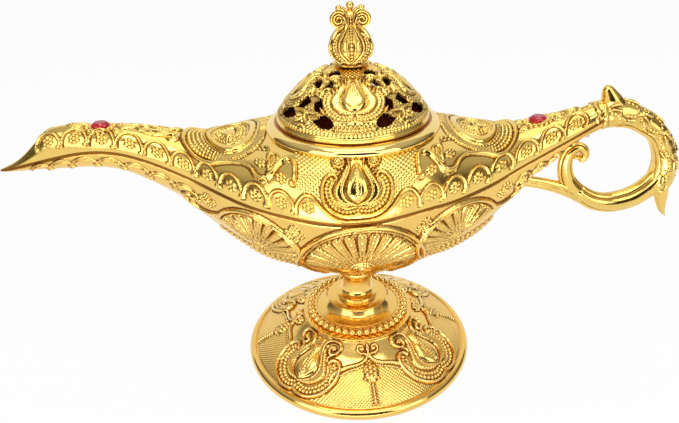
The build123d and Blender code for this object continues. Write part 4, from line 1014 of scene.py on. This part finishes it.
# Gems
# Two oval red glass stones on the ridge, each cut with facets from its girdle to a table,
# held in the bezels of the upper shell.
gem_glass = bpy.data.materials.new("red_gem_finish")
gem_glass.use_nodes = True
tree = gem_glass.node_tree
shader = tree.nodes["Principled BSDF"].inputs
shader["IOR"].default_value = 1.50
shader["Transmission Weight"].default_value = 0.10
shader["Coat Weight"].default_value = 0.15
# Noise patches of dark and bright red are painted facet shading; they also set the roughness.
facet_shading = noise(tree, (-700, 0), 700, 2)
tree.links.new(blended(tree, (-400, 0), facet_shading, (0.13, 0.0, 0.004, 1), (0.70, 0.002, 0.014, 1)),
               shader["Base Color"])
tree.links.new(ranged(tree, (-400, -300), facet_shading, (0, 1), (0.02, 0.10), "LINEAR"), shader["Roughness"])
finishes["red_gem"] = gem_glass
facets = 16
gem_rings = [(0.96, 0.0, 0), (1.0, 0.36, 0), (0.84, 0.66, 1), (0.60, 0.96, 0)]  # reach, rise, half steps
for gem in ("gem_spout", "gem_tail"):
    low, high = (np.array(corner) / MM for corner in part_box(gem))
    centre, half = (low + high) / 2, (high - low) / 2
    points, faces = [], []
    for reach, rise, offset in gem_rings:
        ring = centre[:2] + half[:2] * reach * ring_places(facets, offset * np.pi / facets)
        points.append(np.column_stack((ring, np.full(facets, low[2] + 2 * half[2] * rise))))
    for r in range(len(gem_rings) - 1):
        twist = gem_rings[r + 1][2] - gem_rings[r][2]
        for j in range(facets):
            a, b = r * facets + j, r * facets + (j + 1) % facets
            c, d = a + facets, b + facets
            if twist > 0:
                faces += [[a, b, c], [b, d, c]]
            elif twist < 0:
                faces += [[a, d, c], [a, b, d]]
            else:
                faces.append([a, b, d, c])
    points = np.concatenate(points)
    faces += [list(range(facets))[::-1], list(range(len(points) - facets, len(points)))]
    piece = add_piece(gem + "_cut", points, faces, None, np.zeros(len(points)), "root", "red_gem", gem)
    piece.data.polygons.foreach_set("use_smooth", np.zeros(len(faces), bool))


# Foot
# A spun dome on a rolled rim, pressed with four palmettes and, between them, ogee arches
# with a pendant over a fine net; bright and plain above the arches.
slope_points = [(45.1, 4.5), (41.1, 7.2), (35.2, 10.35), (28.6, 14.0), (23.1, 18.1)]
rim_points = [(41.9, 0.10), (44.0, 0.08), (46.3, 0.08), (47.3, 0.7), (48.1, 2.0), (48.05, 3.4), (47.2, 4.5),
              (46.2, 4.85), (45.6, 4.75), (45.3, 4.35)]
table_points = [(23.0, 18.5), (23.3, 19.0), (23.2, 19.5), (22.6, 19.75), (16.0, 19.7), (2.7, 19.65),
                (2.7, 17.6)]
under_points = [(20.0, 17.4), (21.2, 16.0), (26.4, 11.9), (33.0, 8.2), (39.4, 4.4), (41.6, 1.4)]
rim_path, slope_path = smooth_path(rim_points, 3), smooth_path(slope_points, 22)
foot_path = np.vstack((rim_path, slope_path, smooth_path(table_points, 3), smooth_path(under_points, 3)))
foot_columns = 760
foot_grid, _, _ = turned(foot_path, foot_columns, start=np.radians(-38.5) - quarter / 2)
slope_rows = slice(len(rim_path), len(rim_path) + len(slope_path))
climb = lengths_along(foot_path)
climb = climb - climb[slope_rows][0]
on_slope = np.zeros(len(foot_path), bool)
on_slope[slope_rows] = True
quarter_turns = (np.arange(foot_columns // 4) - foot_columns / 8) * 2 * np.pi / foot_columns
sheet_shape = (len(foot_path), foot_columns // 4)
across = foot_path[:, :1] * quarter_turns
upward = np.broadcast_to(np.where(on_slope, climb, -99)[:, None], sheet_shape)
arches = Relief(across, upward)
ogee = [(-17.5, 7.5), (-15.6, 11.6), (-9.8, 15.4), (-4.6, 17.0), (-1.6, 18.6), (-0.3, 21.0)]
ogee_out, ogee_up = np.array(ogee[::-1]).T
under = np.interp(np.abs(arches.a), -ogee_out, ogee_up)
arches.net((arches.b > 0.6) & (arches.b < under - 0.3), 1.35, 0.50)
m = Motif(arches, (0, 0))
m.line(ogee, 0.62, 1.15)
m.line([(-15.0, 10.2), (-9.6, 13.9), (-4.8, 15.6), (-2.6, 16.6)], 0.30, 0.6)
m.line([(0.2, 20.0), (1.4, 21.2), (3.0, 21.4), (4.1, 22.8), (3.4, 24.4), (1.9, 24.2), (1.9, 22.9)],
       0.55, 1.15)
m.beads([(2.6, 23.2)], 0.8, 1.15)
m.line([(0, 21.0), (0.3, 23.4), (0, 25.4)], 0.45, 1.1)
m.pad([(0, 9.4), (1.6, 10.6), (3.0, 13.0), (2.8, 15.2), (1.6, 16.6), (0, 17.2)], 0.6, 0.9)
arches.beads(1.75 * ring_places(6, np.pi / 2) + (0, 13.8), 0.82, 0.75, 0.5)
arches.beads([(0, 13.8)], 0.9, 0.95, 0.5)
m.beads([(0, 17.0), (1.6, 16.2), (2.6, 11.2), (1.0, 10.4)], 0.6, 1.0)
for i in range(7):
    arches.beads([(0, 8.6 - 1.16 * i)], 0.72 - 0.03 * (i % 2), 1.05)
    m.beads([(1.0, 8.0 - 1.16 * i)], 0.34, 0.7)
pressed = Relief(across, upward)
palmette(pressed, (0, -3.0), scale=1.25, lift=1.1, rolls=False)
quarter_sheet = np.roll(arches.height.reshape(sheet_shape), foot_columns // 8, axis=1)
raised = pressed.height.reshape(sheet_shape)
inner_zone = np.abs(across) < np.interp(upward, [0, 6, 14, 19, 22, 28], [7.5, 14.5, 14.0, 7.0, 9.5, 8.5])
quarter_sheet = np.where(inner_zone & (raised <= 0.02), np.minimum(quarter_sheet, 0),
                         np.maximum(quarter_sheet, raised))
quarter_sheet *= np.clip((climb[slope_rows][-1] - upward) / 0.8, 0, 1) * on_slope[:, None]
closed_form("foot_pressed", foot_grid, np.tile(quarter_sheet, (1, 4)), "root", "gold_lower", "foot")


# Stem
# One turned casting: a ring of balls on the foot's table, a hollow-sided bright cone, two
# rings, the neck, and a rolled collar under the bowl.
stem_points = [(2.7, 19.75), (10.0, 19.72), (17.4, 19.75), (19.3, 19.78), (20.6, 19.9), (21.1, 20.5),
               (20.7, 21.3), (19.6, 21.7), (18.5, 21.6), (17.7, 21.3), (17.2, 21.6), (15.6, 22.2),
               (13.9, 23.2), (12.6, 24.6), (12.2, 25.2), (12.6, 25.5), (12.7, 25.9), (12.2, 26.3),
               (10.6, 26.5), (9.0, 26.6), (8.5, 26.9), (8.8, 27.4), (8.5, 28.0), (7.4, 28.5), (6.3, 29.4),
               (5.8, 31.0), (5.6, 33.5), (5.7, 36.0), (6.2, 37.0), (7.2, 37.6), (7.6, 38.8), (7.3, 40.0),
               (6.3, 40.6), (6.1, 41.6), (6.2, 44.2), (2.8, 44.3)]
bead_count, bead_ring, bead_size = 43, 19.55, 1.28
stem_grid, stem_path, stem_turns = turned(smooth_path(stem_points, 4), bead_count * 14)
roll_low, roll_high, roll_inner = 19.8, 21.75, 17.5  # the roll that carries the balls
top_rows = (stem_path[:, 1] > roll_low) & (stem_path[:, 1] < roll_high) & (stem_path[:, 0] > roll_inner)
stem_run = lengths_along(stem_path)
crest = stem_run[top_rows].mean()
step = (stem_turns * bead_count / (2 * np.pi) + 0.5) % 1 - 0.5
gap = np.hypot((stem_run - crest)[:, None] * 0.72, step * 2 * np.pi * bead_ring / bead_count)
balls = 1.05 * dome_rise(gap, bead_size)
closed_form("stem_turned", stem_grid, balls, "root", "gold_lower", "stem")


# Handle
# One casting, plugged into the tail and held by two screws: a leafy arm that bends down to
# a plain pointed leaf, a reeded lower arm that runs back as a strut to the bowl, a scroll
# that rolls up inside, and a leaf cup on top.
arm_size, handle_span, tail_height = 5.0, 34.8, 102.264
arm_flatness, arm_spare = 0.92, 0.88
handle_age = 0.26  # hands keep it a little duller than the body
upper_arm = [(-0.04, 0.00, 1.12), (0.19, 0.02, 1.04), (0.37, -0.02, 0.94), (0.53, -0.11, 0.84),
             (0.68, -0.23, 0.78), (0.78, -0.40, 0.80), (0.84, -0.59, 0.90), (0.82, -0.78, 0.92),
             (0.77, -0.93, 0.86)]
spike = [(0.84, -0.78, 0.62), (0.89, -0.98, 0.58), (0.93, -1.14, 0.36), (0.985, -1.25, 0.10)]
lower_arm = [(0.83, -0.62, 0.74), (0.79, -0.76, 0.84), (0.70, -0.88, 0.88), (0.57, -0.98, 0.89),
             (0.43, -1.03, 0.87), (0.28, -1.05, 0.83), (0.12, -1.02, 0.76), (-0.02, -0.94, 0.68),
             (-0.12, -0.84, 0.60)]
strut = [(0.02, -0.99, 0.60), (-0.10, -0.92, 0.56), (-0.32, -0.83, 0.48), (-0.58, -0.76, 0.44),
         (-0.86, -0.71, 0.46)]
scroll = [(0.02, -0.97, 0.62), (-0.12, -0.86, 0.62), (-0.23, -0.72, 0.60), (-0.27, -0.56, 0.56),
          (-0.25, -0.43, 0.50), (-0.17, -0.36, 0.44), (-0.09, -0.39, 0.38), (-0.07, -0.47, 0.34),
          (-0.12, -0.52, 0.30)]
scroll_eye = [(-0.15, -0.50, 0.4), (-0.15, -0.48, 0.5), (-0.15, -0.46, 0.5), (-0.15, -0.44, 0.4)]
sprout = [(0.20, -0.02, 1.00), (0.16, 0.08, 0.92), (0.11, 0.18, 0.74), (0.065, 0.27, 0.46),
          (0.04, 0.33, 0.26)]


def limb(shares, columns, steps, flat=arm_flatness):
    """A limb of the handle from its table of places and half thicknesses, as shares of the
    handle's span and of the arm's size. Its turns run from -pi to pi, 0 right of its path."""
    table = np.array(shares)
    points = (tail_reach, tail_height) + table[:, :2] * handle_span
    grid, at, size, turns = tube(points, table[:, 2] * arm_size, columns, steps, flat)
    return grid, at, size, (turns + np.pi) % (2 * np.pi) - np.pi


def add_limb(name, grid, height, *replaced):
    """A limb closed at both ends, as dull as the rest of the handle."""
    closed_form(name, grid, height, "root", "gold_upper", *replaced, loop=False, shading_and_dirt=handle_age)


grid, at, size, turns = limb(upper_arm, 132, 300)
outer_side = np.where(turns > 0, np.pi - turns, -np.pi - turns)
scales = Relief(*np.broadcast_arrays(size[:, None] * outer_side, at[:, None]))
cup_shape = np.array([(-0.72, 0.0), (-0.98, 0.40), (-0.80, 0.76), (-0.42, 0.95), (0, 1.0), (0.42, 0.95),
                      (0.80, 0.76), (0.98, 0.40), (0.72, 0.0)])
cup_first, cup_pitch, cup_half, cup_length = 2.2, 5.8, 4.2, 7.8
for row in range(int(at[-1] / cup_pitch) + 1):
    start = cup_first + row * cup_pitch
    for middle in ((-4.6, 4.6) if row % 2 else (-9.2, 0.0, 9.2)):
        cup = cup_shape * (cup_half, cup_length) + (middle, start)
        outline = smooth_path(cup)
        i = scales.near(outline, 0)
        i = i[scales.inside(i, outline)]
        swell = 0.05 + 0.55 * np.clip((scales.b[i] - start) / cup_length, 0, 1)
        rim = np.clip(scales.distance(i, outline) / 0.6, 0, 1)
        scales.height[i] = np.maximum(scales.height[i] * 0.05, swell * np.sqrt(1 - (1 - rim) ** 2))
        inner = (cup - (middle, start)) * (0.62, 0.70) + (middle, start + 0.3)
        scales.bead_row(inner[1:-1], 0.55, 0.30, 1.3, 0.30)
        scales.line(cup[1:-1] * (0.96, 1) + (0.04 * middle, -0.25), 0.45, 0.88)
leafy = scales.height.reshape(scales.shape)
leafy_turn, calyx_place, rib_turn = 2.35, 2.6, 0.72
leafy *= np.clip((leafy_turn - np.abs(outer_side)) / 0.35, 0, 1)
leafy *= np.clip((at[-1] - at) / 4, 0, 1)[:, None]
calyx = np.exp(-((at - calyx_place) / 0.8) ** 2)[:, None] * 0.9
leafy = np.maximum(leafy, calyx * (1 + 0.25 * np.cos(turns * 12)))
edge_ribs = 0.5 * dome_rise(np.abs(np.abs(turns) - rib_turn), 0.16) * np.clip((at - 6) / 3, 0, 1)[:, None]
leafy = np.minimum(np.maximum(leafy, edge_ribs), arm_spare)
add_limb("handle_upper_arm", grid, leafy, "handle")
grid, at, size, turns = limb(spike, 48, 90, 0.7)
add_limb("handle_leaf_point", grid, 0.55 * np.abs(np.sin(turns)) ** 6 - 0.15)
grid, at, size, turns = limb(lower_arm, 72, 200)
reeds = 0.95 * np.sqrt(np.abs(np.cos(2 * (turns - np.pi / 2)))) - 0.90
add_limb("handle_lower_arm", grid, reeds * np.clip(at / 5, 0, 1)[:, None])
grid, at, size, turns = limb(strut, 48, 120)
add_limb("handle_strut", grid, 0.5 * np.abs(np.cos(turns)) - 0.4)
grid, at, size, turns = limb(scroll, 48, 200, 0.8)
add_limb("handle_scroll", grid, 0.60 * np.sqrt(np.abs(np.cos(2 * turns))) - 0.50)
grid, at, size, turns = limb(sprout, 60, 100)
hollow = -0.8 * np.exp(-((np.abs(turns) - np.pi / 2) / 0.55) ** 2)
add_limb("handle_sprout", grid, hollow * np.exp(-((at - 4.6) / 2.2) ** 2)[:, None])
add_limb("handle_scroll_eye", limb(scroll_eye, 36, 40, 0.95)[0], 0.0)


# Inner parts
# The brass incense dish, the lid's skirt, the tie bolt with its nut and washer, the pins of
# the seam and the small screws: plain machined or spun pieces, kept from the CAD model.
metal("dish_brass", bright=(0.62, 0.36, 0.12), deep=(0.30, 0.12, 0.03), highlight=(0.8, 0.55, 0.2),
      polish=0.35, grain=0.8)
metal("zinc_steel", bright=(0.62, 0.63, 0.64), deep=(0.36, 0.35, 0.33), highlight=(0.8, 0.8, 0.8),
      polish=0.28, grain=0.4)
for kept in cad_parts.values():
    for i, given in enumerate(kept.data.materials):
        kept.data.materials[i] = finishes[given.name]


# Camera
# The photograph's view: from the front, looking 28 degrees down, rolled by a hair.
camera = bpy.data.objects.new("camera", bpy.data.cameras.new("camera"))
bpy.context.collection.objects.link(camera)
bpy.context.scene.camera = camera
focal_px, frame_px = 600.0, 679.0
pitch, roll = np.radians(28.2), np.radians(2.21)
ahead = np.array((0, np.cos(pitch), -np.sin(pitch)))
level, rise = np.array((1.0, 0, 0)), np.array((0, np.sin(pitch), np.cos(pitch)))
right = np.cos(roll) * level - np.sin(roll) * rise
up = np.sin(roll) * level + np.cos(roll) * rise
camera.data.sensor_width = 36.0
camera.data.lens = 36.0 * focal_px / frame_px
camera.data.clip_start = 0.01


def facing(across, upward, back):
    """A turn whose x, y and z axes are the three given directions."""
    return Matrix(np.stack((across, upward, back), 1).tolist()).to_4x4()


camera.matrix_world = Matrix.Translation((-6.2 * MM, -211.5 * MM, 179.5 * MM)) @ facing(right, up, -ahead)


# Studio
# A white table and sweep, soft boxes to the left, the right, overhead and along the front,
# one lying on the table for the underside, and a dark room that gives the gold its browns.
scene = bpy.context.scene
scene.view_settings.view_transform = "Standard"


def seen_white(tree, lit, shade):
    """Shows plain white to camera, glossy and transmission rays, and the lit surface to the
    rest; the share of the lit surface that stays keeps the shadow."""
    path = node(tree, "ShaderNodeLightPath", (-600, 300)).outputs
    most = path["Is Camera Ray"]
    for label in ("Is Glossy Ray", "Is Transmission Ray"):
        most = node(tree, "ShaderNodeMath", (-400, 300),
                    {0: most, 1: path[label]}, operation="MAXIMUM").outputs[0]
    share = node(tree, "ShaderNodeMath", (-200, 300), {0: most, 1: shade}, operation="MULTIPLY").outputs[0]
    white = node(tree, "ShaderNodeEmission", (-200, -200)).outputs[0]
    return node(tree, "ShaderNodeMixShader", (100, 100), {0: share, 1: lit, 2: white}).outputs[0]


floor_mesh = bpy.data.meshes.new("table_top")
floor_reach, bend_start, bend_size, floor_drop = 3.0, 1.2, 0.8, 0.0001
bend = np.linspace(0, np.pi / 2, 16)
sweep = np.vstack([(-floor_reach, 0.0),
                   *zip(bend_start + bend_size * np.sin(bend), bend_size - bend_size * np.cos(bend)),
                   (bend_start + bend_size, floor_reach)])
points = [(x, y, z - floor_drop) for y, z in sweep for x in (-floor_reach, floor_reach)]
floor_mesh.from_pydata(points, [], [[2 * i, 2 * i + 1, 2 * i + 3, 2 * i + 2] for i in range(len(sweep) - 1)])
floor_mesh.polygons.foreach_set("use_smooth", np.ones(len(floor_mesh.polygons), bool))
floor = bpy.data.objects.new("table_top", floor_mesh)
bpy.context.collection.objects.link(floor)
paper = bpy.data.materials.new("white_paper")
paper.use_nodes = True
tree = paper.node_tree
lit = tree.nodes["Principled BSDF"]
lit.inputs["Base Color"].default_value = (0.86, 0.86, 0.86, 1)
lit.inputs["Roughness"].default_value = 0.9
tree.links.new(seen_white(tree, lit.outputs[0], 0.95), tree.nodes["Material Output"].inputs["Surface"])
floor.data.materials.append(paper)

world = bpy.data.worlds.new("studio")
scene.world = world
world.use_nodes = True
tree = world.node_tree
room = tree.nodes["Background"].inputs
direction = node(tree, "ShaderNodeTexCoord", (-900, 0)).outputs["Generated"]
split = node(tree, "ShaderNodeSeparateXYZ", (-700, 0), {0: direction}).outputs
height_in_room = ranged(tree, (-500, 0), split["Z"], (0.10, 0.80))
behind_camera = ranged(tree, (-500, -300), split["Y"], (-0.62, -0.86))
walls = blended(tree, (-300, 0), height_in_room, (0.14, 0.11, 0.09, 1), (0.80, 0.79, 0.77, 1))
tree.links.new(blended(tree, (-100, 0), behind_camera, walls, (0.05, 0.04, 0.03, 1)), room["Color"])
room["Strength"].default_value = 0.72

soft_boxes = {  # place, aim, width, height, brightness
    "box_left": ((-0.50, -0.56, 0.38), (0, 0, 0.08), 0.46, 0.60, 2.25),
    "box_right": ((0.52, -0.54, 0.38), (0, 0, 0.08), 0.40, 0.60, 2.0),
    "box_top": ((0.0, 0.15, 0.85), (0, 0, 0.08), 0.60, 0.40, 1.0),
    "box_front": ((0.0, -0.165, 0.74), (0, 0, 0.05), 0.60, 0.17, 3.4),
    "box_brow": ((0.0, -0.42, 0.60), (0, 0, 0.05), 0.50, 0.12, 2.8),
    "box_table": ((-0.01, -0.36, 0.034), (-0.01, -0.16, 1.0), 0.30, 0.42, 3.8),
}
for name, (spot, aim, wide, tall, brightness) in soft_boxes.items():
    lamp = bpy.data.objects.new(name, bpy.data.lights.new(name, "AREA"))
    lamp.data.shape = "RECTANGLE"
    lamp.data.size, lamp.data.size_y = wide, tall
    lamp.data.energy = brightness * np.pi * wide * tall
    away = np.array(spot) - aim
    back = away / np.linalg.norm(away)
    side_axis = np.cross((0, 0, 1), back)
    side_axis /= np.linalg.norm(side_axis)
    lamp.matrix_world = Matrix.Translation(spot) @ facing(side_axis, np.cross(back, side_axis), back)
    bpy.context.collection.objects.link(lamp)
